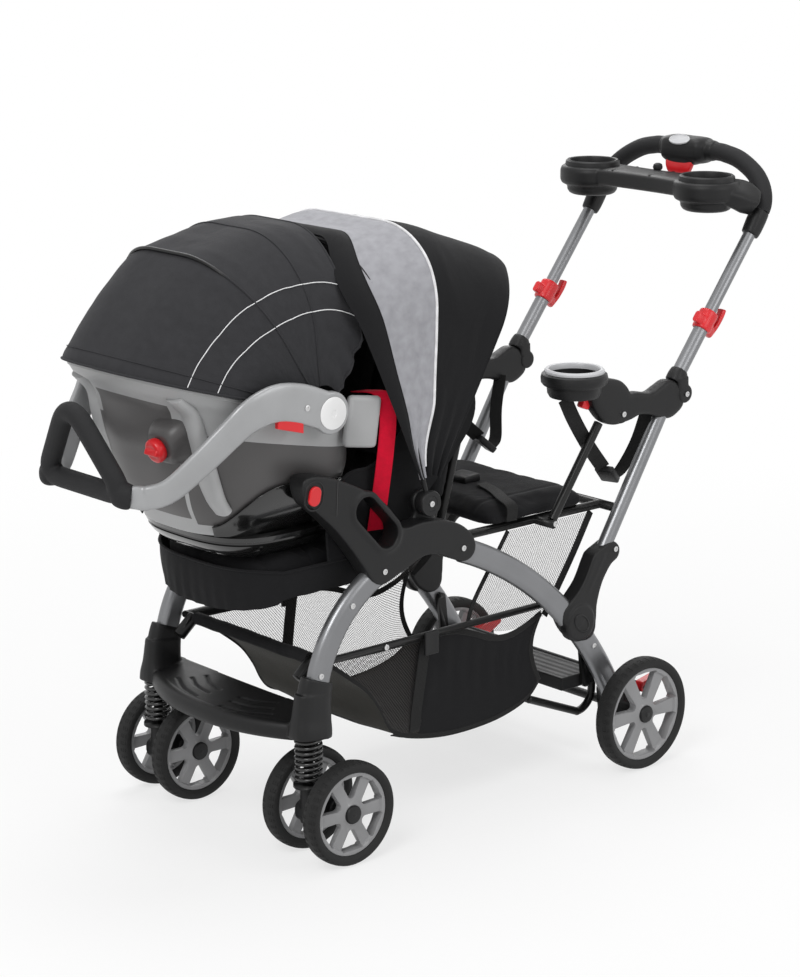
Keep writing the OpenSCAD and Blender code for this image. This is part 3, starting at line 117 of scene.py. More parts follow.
class StrollerColours(bpy.types.PropertyGroup):
    """Colours of the finishes"""
    tube: colour("Tubes", "Silver paint of the legs and handle tubes", (0.225, 0.228, 0.236))
    moulding: colour("Mouldings", "Black grained plastic", (0.0080, 0.0080, 0.0084))
    shell: colour("Carrier shell", "Grey plastic of the carrier", (0.36, 0.363, 0.366))
    arm: colour("Carrier arms", "Silver plastic of the carrier handle", (0.36, 0.364, 0.37))
    red: colour("Latches", "Red plastic of the buttons and latches", (0.68, 0.012, 0.018))
    webbing_red: colour("Red webbing", "Webbing of the carrier belt", (0.66, 0.004, 0.03))
    cloth: colour("Black cloth", "Seats, basket and canopy", (0.0105, 0.0105, 0.0115))
    hood: colour("Charcoal cloth", "Hood of the carrier", (0.036, 0.036, 0.039))
    panel: colour("Grey cloth", "Grey panel of the canopy", (0.37, 0.37, 0.395))
    piping: colour("Piping", "White piping and stitches", (0.85, 0.85, 0.86))
    front_panel: colour("Basket front", "Front panel of the basket", (0.052, 0.050, 0.044))
    net: colour("Net thread", "Threads of the basket nets", (0.035, 0.031, 0.029))
    foam: colour("Foam", "Grip sleeves", (0.016, 0.016, 0.017))
    tyre: colour("Tyres", "Foam rubber tyres", (0.013, 0.013, 0.013))
    rim: colour("Rims", "Grey plastic wheels", (0.265, 0.265, 0.27))
    ring: colour("Cup ring", "Light ring of the cup holder", (0.54, 0.545, 0.56))


class StrollerSizes(bpy.types.PropertyGroup):
    """Sizes of the trim and the cloth"""
    cloth: length("Cloth", "Thickness of the canopy cloth", 0.0016, 0.0008, 0.0024)
    piping: length("Piping", "Radius of the white piping", 0.0023, 0.001, 0.004)
    stitch: length("Stitch", "Radius of a stitched line", 0.0008, 0.0004, 0.002)
    strap: length("Strap", "Width of the harness webbing", 0.025, 0.015, 0.04)
    puff: length("Puff", "Farthest that a cushion swells", 0.009, 0.003, 0.016)
    net: length("Net", "Pitch of the net", 0.0046, 0.003, 0.012)
    tread: length("Tread", "Depth of the tyre tread", 0.0006, 0.0005, 0.003)


class StrollerSettings(bpy.types.PropertyGroup):
    """All settings of the stroller"""
    colours: PointerProperty(type=StrollerColours)
    sizes: PointerProperty(type=StrollerSizes)


def settings():
    return bpy.context.scene.stroller


# Modelling helpers

def only(obj):
    """Leaves just this object selected and active, in object mode."""
    if bpy.context.object and bpy.context.object.mode != "OBJECT":
        bpy.ops.object.mode_set(mode="OBJECT")
    bpy.ops.object.select_all(action="DESELECT")
    obj.select_set(True)
    bpy.context.view_layer.objects.active = obj
    return obj


def editing(obj, *steps):
    """Runs edit mode steps on the whole mesh of one object."""
    only(obj)
    bpy.ops.object.mode_set(mode="EDIT")
    bpy.ops.mesh.select_all(action="SELECT")
    for step in steps:
        step()
    bpy.ops.object.mode_set(mode="OBJECT")
    return obj


def pick(obj, test, kind="faces"):
    """In edit mode, selects the faces, edges or points that pass a test."""
    bpy.ops.mesh.select_all(action="DESELECT")
    bpy.ops.mesh.select_mode(type={"faces": "FACE", "edges": "EDGE", "verts": "VERT"}[kind])
    grid = bmesh.from_edit_mesh(obj.data)
    for part in getattr(grid, kind):
        if test(part):
            part.select_set(True)
    grid.select_flush_mode()
    bmesh.update_edit_mesh(obj.data)


def modify(obj, kind, **values):
    """Adds a modifier and applies it."""
    only(obj)
    step = obj.modifiers.new(kind.title(), kind)
    for name, value in values.items():
        setattr(step, name, value)
    bpy.ops.object.modifier_apply(modifier=step.name)
    return obj


def close_up(obj):
    """Merges doubles and turns the faces outwards."""
    return editing(obj, lambda: bpy.ops.mesh.remove_doubles(threshold=1e-5),
                   lambda: bpy.ops.mesh.normals_make_consistent(inside=False))


def dress(obj, name, body, slot, *materials, smooth=40):
    """Names a finished piece and gives it its finish; given one body it puts it on that body, and otherwise it
    only bakes its place.
    """
    only(obj)
    bpy.ops.object.transform_apply(location=True, rotation=True, scale=True)
    obj.name = obj.data.name = name
    parts = [face.material_index for face in obj.data.polygons]
    obj.data.materials.clear()
    for material in materials:
        obj.data.materials.append(bpy.data.materials[f"{material}_finish"])
    if len(materials) > 1:
        obj.data.polygons.foreach_set("material_index", parts)
    bpy.ops.object.shade_smooth_by_angle(angle=math.radians(smooth))
    if isinstance(body, str):
        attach(obj, body)
    else:
        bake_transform(obj)
    return obj


def linked(name, data):
    """A new object in the scene."""
    obj = bpy.data.objects.new(name, data)
    bpy.context.scene.collection.objects.link(obj)
    return obj


def grid_object(name, rows, uv=None, closed=False):
    """A sheet over rows of points, with its UV map in metres."""
    count = len(rows[0])
    points = [p for row in rows for p in row]
    wide = count if closed else count - 1
    faces = [(j * count + i, j * count + (i + 1) % count,
              (j + 1) * count + (i + 1) % count, (j + 1) * count + i)
             for j in range(len(rows) - 1) for i in range(wide)]
    mesh = bpy.data.meshes.new(name)
    mesh.from_pydata(points, [], faces)
    if uv:
        flat = [q for row in uv for q in row]
        layer = mesh.uv_layers.new(name="cut")
        for loop in mesh.loops:
            layer.data[loop.index].uv = flat[loop.vertex_index]
    return linked(name, mesh)


def flat_uv(rows):
    """Lengths along and across a sheet, for its UV map."""
    along, uv = 0.0, []
    middle = len(rows[0]) // 2
    for j, row in enumerate(rows):
        if j:
            along += (row[middle] - rows[j - 1][middle]).length
        across, line = 0.0, []
        for i, p in enumerate(row):
            if i:
                across += (p - row[i - 1]).length
            line.append((across, along))
        uv.append(line)
    return uv


def tube(name, points, radius, closed=False, sides=3):
    """A round cord through points, as a mesh."""
    line = bpy.data.curves.new(name, "CURVE")
    line.dimensions = "3D"
    line.bevel_depth, line.bevel_resolution, line.use_fill_caps = radius, sides, True
    path = line.splines.new("POLY")
    path.points.add(len(points) - 1)
    for place, p in zip(path.points, points):
        place.co = (*p, 1)
    path.use_cyclic_u = closed
    only(linked(name, line))
    bpy.ops.object.convert(target="MESH")
    return bpy.context.object


def curved(points, steps=8):
    """A smooth line through a few points."""
    ends = [2 * points[0] - points[1], *points, 2 * points[-1] - points[-2]]
    line = []
    for a, b, c, d in zip(ends, ends[1:], ends[2:], ends[3:]):
        for k in range(steps):
            t = k / steps
            line.append(0.5 * (2 * b + (c - a) * t + (2 * a - 5 * b + 4 * c - d) * t ** 2
                               + (3 * b - a - 3 * c + d) * t ** 3))
    return line + [points[-1]]


def webbing(name, points, side, width, thick=0.0018):
    """A flat strap along points, as wide as its side vector says."""
    reach = Vector(side).normalized() * width / 2
    rows = [[p - reach, p - reach * 0.5, p, p + reach * 0.5, p + reach] for p in points]
    obj = grid_object(name, rows, flat_uv(rows))
    modify(obj, "SOLIDIFY", thickness=thick, offset=0)
    return modify(obj, "BEVEL", width=thick * 0.3, segments=1, limit_method="ANGLE")


CORE = 0.2  # where the profile of a solid turned piece stops, just off its axis


def disc_profile(radius, low, high, edge=2):
    """The profile of a solid disc with broken edges, for the lathe."""
    return [(CORE, low), (radius - edge, low), (radius, low + edge),
            (radius, high - edge), (radius - edge, high), (CORE, high)]


def lathe(name, profile, centre, axis, steps=48, unit=MM):
    """A closed profile of (radius, height) pairs spun round an axis."""
    axis = Vector(axis).normalized()
    out = axis.orthogonal().normalized()
    mesh = bpy.data.meshes.new(name)
    mesh.from_pydata([centre + out * (r * unit) + axis * (h * unit) for r, h in profile],
                     [(i, (i + 1) % len(profile)) for i in range(len(profile))], [])
    obj = linked(name, mesh)
    editing(obj, lambda: bpy.ops.mesh.spin(steps=steps, angle=math.tau, center=centre, axis=axis))
    return close_up(obj)


def block(name, size, place, turn=(0, 0, 0), edge=0.002, inset=0.0, depth=0.0, face=(0, 0, 1)):
    """A box with rounded edges and one panel set into a face."""
    bpy.ops.object.select_all(action="DESELECT")
    bpy.ops.mesh.primitive_cube_add(size=1, location=(0, 0, 0))
    obj = bpy.context.object
    obj.scale = size
    bpy.ops.object.transform_apply(location=False, rotation=False, scale=True)
    if inset:
        editing(obj, lambda: pick(obj, lambda f: f.normal.dot(Vector(face)) > 0.9),
                lambda: bpy.ops.mesh.inset(thickness=inset, depth=-depth))
    modify(obj, "BEVEL", width=edge, segments=3, limit_method="ANGLE", angle_limit=math.radians(40))
    obj.rotation_euler, obj.location = [math.radians(a) for a in turn], place
    bpy.ops.object.transform_apply(location=True, rotation=True, scale=True)
    obj.name = name
    return obj


def cap_ends(obj):
    """Closes the open ends of a lofted skin."""
    editing(obj, lambda: pick(obj, lambda e: e.is_boundary, "edges"), lambda: bpy.ops.mesh.fill_holes(sides=0))
    return close_up(obj)


def power(value, share):
    """A power that keeps the sign, for the corners of a superellipse."""
    return math.copysign(abs(value) ** share, value)


def band(name, stations, side=(1, 0, 0), edge=0.5, steps=6, count=24):
    """A skin lofted along stations of (x, y, z, half width, half height), in millimetres."""
    path = curved([mm(*row[:3]) for row in stations], steps)
    sizes = curved([mm(*row[3:], 0) for row in stations], steps)
    rows = []
    for k, (p, half) in enumerate(zip(path, sizes)):
        way = (path[min(k + 1, len(path) - 1)] - path[max(k - 1, 0)]).normalized()
        across = Vector(side)
        across = (across - way * across.dot(way)).normalized()
        rise = across.cross(way)
        turns = [math.tau * i / count for i in range(count)]
        rows.append([p + across * half.x * power(math.cos(a), edge) + rise * half.y * power(math.sin(a), edge)
                     for a in turns])
    return cap_ends(grid_object(name, rows, closed=True))


def round_over(obj, voxel, passes):
    """Rounds over the edges of a form, with a voxel in millimetres."""
    modify(obj, "REMESH", mode="VOXEL", voxel_size=voxel * MM)
    return modify(obj, "SMOOTH", factor=0.5, iterations=passes)


def carve(obj, cutter):
    """Cuts one form out of another."""
    modify(obj, "BOOLEAN", operation="DIFFERENCE", object=cutter, solver="EXACT")
    bpy.data.objects.remove(cutter)
    return obj


def thicken(sheet, offset=0):
    """Gives a sheet the thickness of the cloth."""
    return modify(sheet, "SOLIDIFY", thickness=settings().sizes.cloth, offset=offset)


def spanned(first, last, count, shape):
    """Rows of points from one edge of a sheet to the other, shaped by row and share of the way."""
    return [[shape(a.lerp(b, k / (count - 1)), j, k / (count - 1)) for k in range(count)]
            for j, (a, b) in enumerate(zip(first, last))]


def fuse(parts, voxel=2.0, passes=6):
    """One moulding from overlapping forms, with its joins rounded over."""
    only(parts[0])
    for part in parts:
        part.select_set(True)
    bpy.ops.object.join()
    return round_over(parts[0], voxel, passes)


def twin(obj, name, shift=None, mirror=False):
    """A copy with its own mesh, moved or mirrored to the other side."""
    copy = linked(name, obj.data.copy())
    if mirror:
        copy.data.transform(Matrix.Scale(-1, 4, (1, 0, 0)))
        copy.data.flip_normals()
    if shift:
        copy.data.transform(Matrix.Translation(shift))
    return copy


def pair(make, name, node, body, slot, material, smooth=60):
    """Makes a piece for the near side and its mirror image for the far one, each in place of its own node."""
    near = make()
    parts = {"left": near, "right": twin(near, "far", mirror=True)}
    for side, piece in parts.items():
        dress(piece, f"{name}_{side}", body.format(side), slot, material, smooth=smooth)
        if node:
            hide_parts(f"{node}_{side}")
    return parts


def solid_copy(node):
    """A merged copy of a CAD node's mesh."""
    obj = linked(node + "_copy", NODES[node].data.copy())
    return editing(obj, lambda: bpy.ops.mesh.remove_doubles(threshold=2e-6))


def body_of(node):
    """The body that a CAD node rides on."""
    return NODES[node]["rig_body"]


def wave(p, scale, seed):
    """Smooth noise at a place, the same on each run."""
    return noise.noise(Vector(p) * scale + Vector((seed, seed * 1.7, seed * 0.3)))


def bump(value, middle, spread):
    """A round hump that is 1 at its middle."""
    return math.exp(-((value - middle) / spread) ** 2)


# Finishes

def place_node(tree, kind, inputs=None, **values):
    node = tree.nodes.new("ShaderNode" + kind)
    for name, value in values.items():
        setattr(node, name, value)
    for name, value in (inputs or {}).items():
        socket = node.inputs[name]
        if isinstance(value, bpy.types.NodeSocket):
            tree.links.new(value, socket)
        else:
            socket.default_value = value
    return node


def blank_tree(owner):
    """The emptied node tree of a material or a world."""
    owner.use_nodes = True
    owner.node_tree.nodes.clear()
    return owner.node_tree


def new_group(name, inputs, outputs):
    tree = bpy.data.node_groups.new(name, "ShaderNodeTree")
    for label, kind, value in inputs:
        socket = tree.interface.new_socket(name=label, in_out="INPUT", socket_type="NodeSocket" + kind)
        if value is not None:
            socket.default_value = value
    for label, kind in outputs:
        tree.interface.new_socket(name=label, in_out="OUTPUT", socket_type="NodeSocket" + kind)
    return tree, tree.nodes.new("NodeGroupInput").outputs, tree.nodes.new("NodeGroupOutput")


def scaled(tree, colour_socket, factor_socket):
    """A colour times a number that changes over the surface."""
    return place_node(tree, "VectorMath", {0: colour_socket, 3: factor_socket}, operation="SCALE").outputs[0]


def math_node(tree, operation, a, b):
    return place_node(tree, "Math", {0: a, 1: b}, operation=operation).outputs[0]


def spread_node(tree, value, low, high):
    """A value from 0 to 1 spread between two limits."""
    return place_node(tree, "MapRange", {"Value": value, "To Min": low, "To Max": high}).outputs["Result"]


def moulded_grain():
    """Fine grain, cloudy gloss and paler worn edges for plastic and paint."""
    tree, given, out = new_group("moulded_grain", [
        ("Vector", "Vector", None), ("Color", "Color", (0.5, 0.5, 0.5, 1)), ("Grain", "Float", 900.0),
        ("Depth", "Float", 0.1), ("Rough", "Float", 0.45), ("Wear", "Float", 0.3)],
        [("Color", "Color"), ("Roughness", "Float"), ("Normal", "Vector")])
    fine = place_node(tree, "TexNoise", {"Vector": given["Vector"], "Scale": given["Grain"], "Detail": 2.0})
    cloud = place_node(tree, "TexNoise", {"Vector": given["Vector"], "Scale": 14.0, "Detail": 4.0})
    edge = place_node(tree, "MapRange", {"Value": place_node(tree, "NewGeometry").outputs["Pointiness"],
                                         "From Min": 0.52, "From Max": 0.60}).outputs["Result"]
    worn = math_node(tree, "MULTIPLY", edge, given["Wear"])
    shade = math_node(tree, "ADD", spread_node(tree, cloud.outputs["Fac"], 0.88, 1.12), worn)
    tree.links.new(scaled(tree, given["Color"], shade), out.inputs["Color"])
    rough = math_node(tree, "ADD", given["Rough"], spread_node(tree, cloud.outputs["Fac"], -0.09, 0.09))
    tree.links.new(rough, out.inputs["Roughness"])
    raised = place_node(tree, "Bump", {"Height": fine.outputs["Fac"], "Strength": given["Depth"],
                                       "Distance": 0.0006})
    tree.links.new(raised.outputs["Normal"], out.inputs["Normal"])
    return tree


def woven_cloth():
    """Warp and weft with slubs, soft creases and faded patches."""
    tree, given, out = new_group("woven_cloth", [
        ("Vector", "Vector", None), ("Color", "Color", (0.1, 0.1, 0.1, 1)), ("Threads", "Float", 230.0),
        ("Depth", "Float", 0.25), ("Creases", "Float", 0.2)],
        [("Color", "Color"), ("Roughness", "Float"), ("Normal", "Vector")])
    thread = {"Vector": given["Vector"], "Scale": given["Threads"], "Distortion": 0.6, "Detail": 1.0}
    bands = [place_node(tree, "TexWave", thread, bands_direction=axis).outputs["Fac"] for axis in "XY"]
    weave = math_node(tree, "MULTIPLY", bands[0], bands[1])
    slub = place_node(tree, "TexNoise", {"Vector": given["Vector"], "Scale": 60.0, "Detail": 6.0})
    fold = place_node(tree, "TexNoise", {"Vector": given["Vector"], "Scale": 11.0, "Detail": 3.0,
                                         "Distortion": 0.8})
    shade = math_node(tree, "MULTIPLY", spread_node(tree, slub.outputs["Fac"], 0.72, 1.28),
                      spread_node(tree, weave, 0.86, 1.14))
    tree.links.new(scaled(tree, given["Color"], shade), out.inputs["Color"])
    tree.links.new(spread_node(tree, slub.outputs["Fac"], 0.74, 0.95), out.inputs["Roughness"])
    low = place_node(tree, "Bump", {"Height": fold.outputs["Fac"], "Strength": given["Creases"],
                                    "Distance": 0.012})
    high = place_node(tree, "Bump", {"Height": weave, "Strength": given["Depth"], "Distance": 0.0006,
                                     "Normal": low.outputs["Normal"]})
    tree.links.new(high.outputs["Normal"], out.inputs["Normal"])
    return tree


def net_threads():
    """A mask of crossing threads, 1 on a thread and 0 in a hole."""
    tree, given, out = new_group("net_threads", [
        ("Vector", "Vector", None), ("Pitch", "Float", 0.006), ("Thread", "Float", 0.2)],
        [("Mask", "Float"), ("Height", "Float")])
    place = place_node(tree, "SeparateXYZ", {"Vector": given["Vector"]}).outputs
    hits = []
    for way in ("ADD", "SUBTRACT"):
        lane = math_node(tree, "DIVIDE", math_node(tree, way, place["X"], place["Y"]), given["Pitch"])
        near = place_node(tree, "Math", {0: lane, 1: 0.5}, operation="PINGPONG").outputs[0]
        hits.append(math_node(tree, "LESS_THAN", near, given["Thread"]))
    tree.links.new(math_node(tree, "MAXIMUM", *hits), out.inputs["Mask"])
    tree.links.new(math_node(tree, "ADD", *hits), out.inputs["Height"])
    return tree


def new_material(name, group, values, **shader):
    """A finish from one of the shared groups, with plain values set on the shader."""
    material = bpy.data.materials.new(f"{name}_finish")
    tree = blank_tree(material)
    base = place_node(tree, "BsdfPrincipled", shader)
    tree.links.new(base.outputs["BSDF"], place_node(tree, "OutputMaterial").inputs["Surface"])
    spot = place_node(tree, "TexCoord").outputs[values.pop("coords", "Object")]
    looks = tree.nodes.new("ShaderNodeGroup")
    looks.node_tree = group
    tree.links.new(spot, looks.inputs["Vector"])
    for label, value in values.items():
        looks.inputs[label].default_value = (*value, 1) if label == "Color" else value
    for label, socket in (("Color", "Base Color"), ("Roughness", "Roughness"), ("Normal", "Normal")):
        tree.links.new(looks.outputs[label], base.inputs[socket])
    return material


def make_finishes():
    c, s = settings().colours, settings().sizes
    grain, weave, net = moulded_grain(), woven_cloth(), net_threads()

    def plastic(name, tint, rough, depth, size=900.0, wear=0.3, **shader):
        new_material(name, grain, {"Color": tint, "Rough": rough, "Depth": depth, "Grain": size, "Wear": wear},
                     **shader)

    def cloth(name, tint, threads=230.0, depth=0.25, creases=0.2, coords="UV", sheen=0.05):
        new_material(name, weave, {"Color": tint, "Threads": threads, "Depth": depth, "Creases": creases,
                                   "coords": coords},
                     **{"Sheen Weight": sheen, "Sheen Roughness": 0.45, "Specular IOR Level": 0.15})

    dull = {"Specular IOR Level": 0.28}
    plastic("silver_paint", c.tube, 0.33, 0.004, 900.0, 0.0, Metallic=0.75, **dull)
    plastic("black_paint", (0.006, 0.006, 0.006), 0.34, 0.03, 1200.0, 0.0, **dull)
    plastic("black_moulding", c.moulding, 0.46, 0.20, 1500.0, 0.5, **dull)
    plastic("gloss_black", (0.006, 0.006, 0.006), 0.16, 0.01, 300.0, 0.2, **{"Coat Weight": 0.4})
    plastic("grey_shell", c.shell, 0.44, 0.10, 1500.0, 0.12)
    # painted shade: a darker grey for where shade falls on the shell, under the arm and in the head-end hollow
    plastic("dark_shell", (0.066, 0.063, 0.063), 0.42, 0.08, 1500.0, 0.2)
    plastic("arm_silver", c.arm, 0.34, 0.04, 2600.0, 0.05, Metallic=0.25)
    plastic("red_plastic", c.red, 0.33, 0.05, 900.0, 0.1)
    plastic("white_plastic", (0.80, 0.80, 0.80), 0.38, 0.04, 900.0, 0.05)
    plastic("cup_grey", c.ring, 0.36, 0.05, 1100.0, 0.1)
    plastic("foam_sleeve", c.foam, 0.74, 0.5, 1900.0, 0.2, **dull)
    plastic("tyre_rubber", c.tyre, 0.70, 0.4, 1400.0, 0.6, **dull)
    plastic("rim_grey", c.rim, 0.42, 0.08, 1400.0, 0.25)
    plastic("spring_black", (0.010, 0.010, 0.010), 0.24, 0.03, 700.0, 0.4, **{"Coat Weight": 0.25})
    plastic("zinc_steel", (0.55, 0.55, 0.55), 0.28, 0.12, 3000.0, 0.1, Metallic=1.0)
    cloth("black_cloth", c.cloth)
    cloth("cushion_cloth", c.cloth, coords="Object", creases=0.35)
    cloth("charcoal_cloth", c.hood)
    cloth("grey_cloth", c.panel, creases=0.16, sheen=0.1)
    cloth("white_cord", c.piping, 420.0, 0.3, 0.0, "Object", 0.05)
    cloth("front_panel_cloth", c.front_panel, creases=0.12)
    cloth("black_webbing", (0.014, 0.014, 0.014), 150.0, 0.6, 0.0, sheen=0.15)
    cloth("red_webbing", c.webbing_red, 150.0, 0.5, 0.0, sheen=0.1)
    cloth("liner_cloth", (0.030, 0.030, 0.032), creases=0.3)

    tree = blank_tree(bpy.data.materials.new("net_cloth_finish"))
    looks = tree.nodes.new("ShaderNodeGroup")
    looks.node_tree = net
    tree.links.new(place_node(tree, "TexCoord").outputs["UV"], looks.inputs["Vector"])
    looks.inputs["Pitch"].default_value = s.net
    looks.inputs["Thread"].default_value = 0.11
    raised = place_node(tree, "Bump", {"Height": looks.outputs["Height"], "Strength": 0.5, "Distance": 0.0008})
    base = place_node(tree, "BsdfPrincipled", {
        "Base Color": (*c.net, 1), "Roughness": 0.8, "Alpha": looks.outputs["Mask"],
        "Normal": raised.outputs["Normal"]})
    tree.links.new(base.outputs["BSDF"], place_node(tree, "OutputMaterial").inputs["Surface"])


# Stage

CAMERA_TARGET = Vector((0.0179, -0.0280, 0.5223))
CAMERA_AZIMUTH, CAMERA_RISE, CAMERA_FAR = math.radians(48.55), math.radians(14.23), 4.644
CAMERA_LENS = 101.2


def background_shade(tree, pale, light):
    """A shader that the camera, gloss and glass see as pale, and that lights the rest plainly."""
    path = place_node(tree, "LightPath").outputs
    seen = math_node(tree, "MAXIMUM", math_node(tree, "MAXIMUM", path["Is Camera Ray"], path["Is Glossy Ray"]),
                     path["Is Transmission Ray"])
    return place_node(tree, "MixShader", {0: seen, 1: light, 2: pale}).outputs[0]


def make_stage():
    scene = bpy.context.scene
    scene.view_settings.view_transform = "Standard"
    back = Vector((math.sin(CAMERA_AZIMUTH) * math.cos(CAMERA_RISE),
                   -math.cos(CAMERA_AZIMUTH) * math.cos(CAMERA_RISE), math.sin(CAMERA_RISE)))
    lens = bpy.data.cameras.new("photo_camera")
    lens.lens, lens.sensor_width = CAMERA_LENS, 36
    camera = linked("photo_camera", lens)
    camera.location = CAMERA_TARGET + back * CAMERA_FAR
    camera.rotation_euler = (-back).to_track_quat("-Z", "Y").to_euler()
    scene.camera = camera

    world = bpy.data.worlds.new("studio")
    tree = blank_tree(world)
    pale = place_node(tree, "Background", {"Color": (1, 1, 1, 1), "Strength": 1.0}).outputs[0]
    fill = place_node(tree, "Background", {"Color": (1, 1, 1, 1), "Strength": 0.45}).outputs[0]
    tree.links.new(background_shade(tree, pale, fill), place_node(tree, "OutputWorld").inputs["Surface"])
    scene.world = world

    bpy.ops.object.select_all(action="DESELECT")
    bpy.ops.mesh.primitive_grid_add(x_subdivisions=4, y_subdivisions=4, size=120, location=(0, 0, -0.0005))
    floor = bpy.context.object
    floor.name = "floor"
    paint = bpy.data.materials.new("pale_floor")
    tree = blank_tree(paint)
    matt = place_node(tree, "BsdfDiffuse", {"Color": (0.90, 0.90, 0.90, 1)}).outputs[0]
    glow = place_node(tree, "Emission", {"Color": (1, 1, 1, 1), "Strength": 1.0}).outputs[0]
    near = place_node(tree, "MixShader", {0: 0.70, 1: matt, 2: glow}).outputs[0]
    spot = place_node(tree, "TexCoord").outputs["Object"]
    far = place_node(tree, "VectorMath", {0: spot}, operation="LENGTH")
    fade = place_node(tree, "MapRange", {"Value": far.outputs["Value"], "From Min": 0.7, "From Max": 2.6},
                      interpolation_type="SMOOTHSTEP").outputs["Result"]
    white = place_node(tree, "MixShader", {0: fade, 1: near, 2: glow}).outputs[0]
    tree.links.new(background_shade(tree, white, matt), place_node(tree, "OutputMaterial").inputs["Surface"])
    floor.data.materials.append(paint)

    for name, place, size, power in (("key", (1.6, -3.2, 3.6), 2.0, 84), ("fill", (3.4, 1.2, 2.2), 2.2, 30),
                                     ("top", (-0.6, 0.4, 4.2), 2.4, 56), ("back", (-3.2, 2.4, 2.6), 2.0, 30)):
        lamp = bpy.data.lights.new(name, "AREA")
        lamp.shape, lamp.size, lamp.energy = "DISK", size, power
        light = linked(name, lamp)
        light.location = place
        light.rotation_euler = (Vector((0, 0, 0.5)) - Vector(place)).to_track_quat("-Z", "Y").to_euler()


# Frame and mouldings

FRAME_FINISH = {
    "silver_paint": ("silver_paint", ["rear_leg_left", "rear_leg_right", "front_leg_left", "front_leg_right"]),
    "black_paint": ("black_paint", ["seat_strut_left", "seat_strut_right", "seat_frame", "basket_frame",
                                    "platform_frame", "strut_left", "strut_right", "carrier_canopy_bow"]),
    "black_plastic": ("black_moulding", ["rear_axle", "canopy_front_bow"]),
}
MOULDINGS = [
    # node, slot, finish, voxel in millimetres, smoothing passes
    ("platform", *MOULDED, 1.8, 3),
    ("caster_fork_left", *MOULDED, 1.6, 5),
    ("caster_fork_right", *MOULDED, 1.6, 5),
    ("brake_pedal_left", *RED, 1.2, 4),
    ("brake_pedal_right", *RED, 1.2, 4),
    ("carrier_handle_catches", *RED, 1.0, 4),
]


def finish_frame():
    """The tubes and rods of the frame, in their paint."""
    for slot, (material, nodes) in FRAME_FINISH.items():
        for node in nodes:
            obj = solid_copy(node)
            if node == "seat_frame":
                bend_front_rail(obj)
            dress(obj, node + "_tube", body_of(node), slot, material, smooth=32)
            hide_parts(node)


def bend_front_rail(obj):
    """Draws the corners of the front seat rail in behind the rounded front of the seat."""
    front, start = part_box("seat_frame")[0].y / MM, -330
    for v in obj.data.vertices:
        if v.co.y < start * MM:
            share = (seat_front(v.co.x / MM) + 16 - start) / (front - start)
            v.co.y = start * MM + (v.co.y - start * MM) * min(share, 1)


def make_mouldings():
    """The mouldings: CAD solids with their edges rounded over, and those that the scene shapes itself."""
    for node, slot, material, voxel, passes in MOULDINGS:
        obj = round_over(solid_copy(node), voxel, passes)
        dress(obj, node + "_moulding", body_of(node), slot, material, smooth=60)
        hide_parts(node)
    make_side_hubs()
    make_rear_links()
    make_footrest()


def plate(name, outline, low, high, steps=5):
    """A plate between two side faces, with a smooth closed outline of (y, z) in millimetres."""
    loop = [mm(0, *p) for p in outline]
    line = curved(loop[-2:] + loop + loop[:2], steps)[2 * steps:(2 + len(loop)) * steps]
    return cap_ends(grid_object(name, [[p + mm(x, 0, 0) for p in line] for x in (low, high)], closed=True))


HUB_OUTLINE = [
    (-400, 621), (-398, 632), (-389, 637), (-369, 636), (-337, 627), (-292, 607), (-255, 587), (-227, 565),
    (-209, 543), (-199, 526), (-182, 521), (-150, 524), (-111, 520), (-72, 508), (-45, 488), (-34, 467),
    (-39, 449), (-57, 441), (-81, 448), (-106, 460), (-131, 466), (-155, 465), (-179, 455), (-203, 446),
    (-227, 437), (-243, 436), (-260, 447), (-274, 468), (-302, 505), (-334, 542), (-365, 571), (-390, 593)]
HUB_IN, HUB_OUT, HUB_HOLE, HUB_BUTTON = 177, 214.5, (-250, 541), (-379, 606)
HOLE_LEAN, BUTTON_LEAN = -47, 80
EAR_MID, EAR_HALF = 183.5, 6.5
EAR_RADIUS = 22


def oval(long, wide, lean, share):
    """A point of a stadium outline in the plane of a side hub."""
    a = math.tau * share
    run = (long - wide) / 2
    y, z = wide / 2 * math.cos(a) + math.copysign(run, math.cos(a)), wide / 2 * math.sin(a)
    t = math.radians(lean)
    return mm(0, y * math.cos(t) - z * math.sin(t), y * math.sin(t) + z * math.cos(t))


def hub_loop(x, spot, long, wide, lean, count=48):
    """A stadium outline round a spot of a side hub."""
    return [mm(x, *spot) + oval(long, wide, lean, k / count) for k in range(count)]


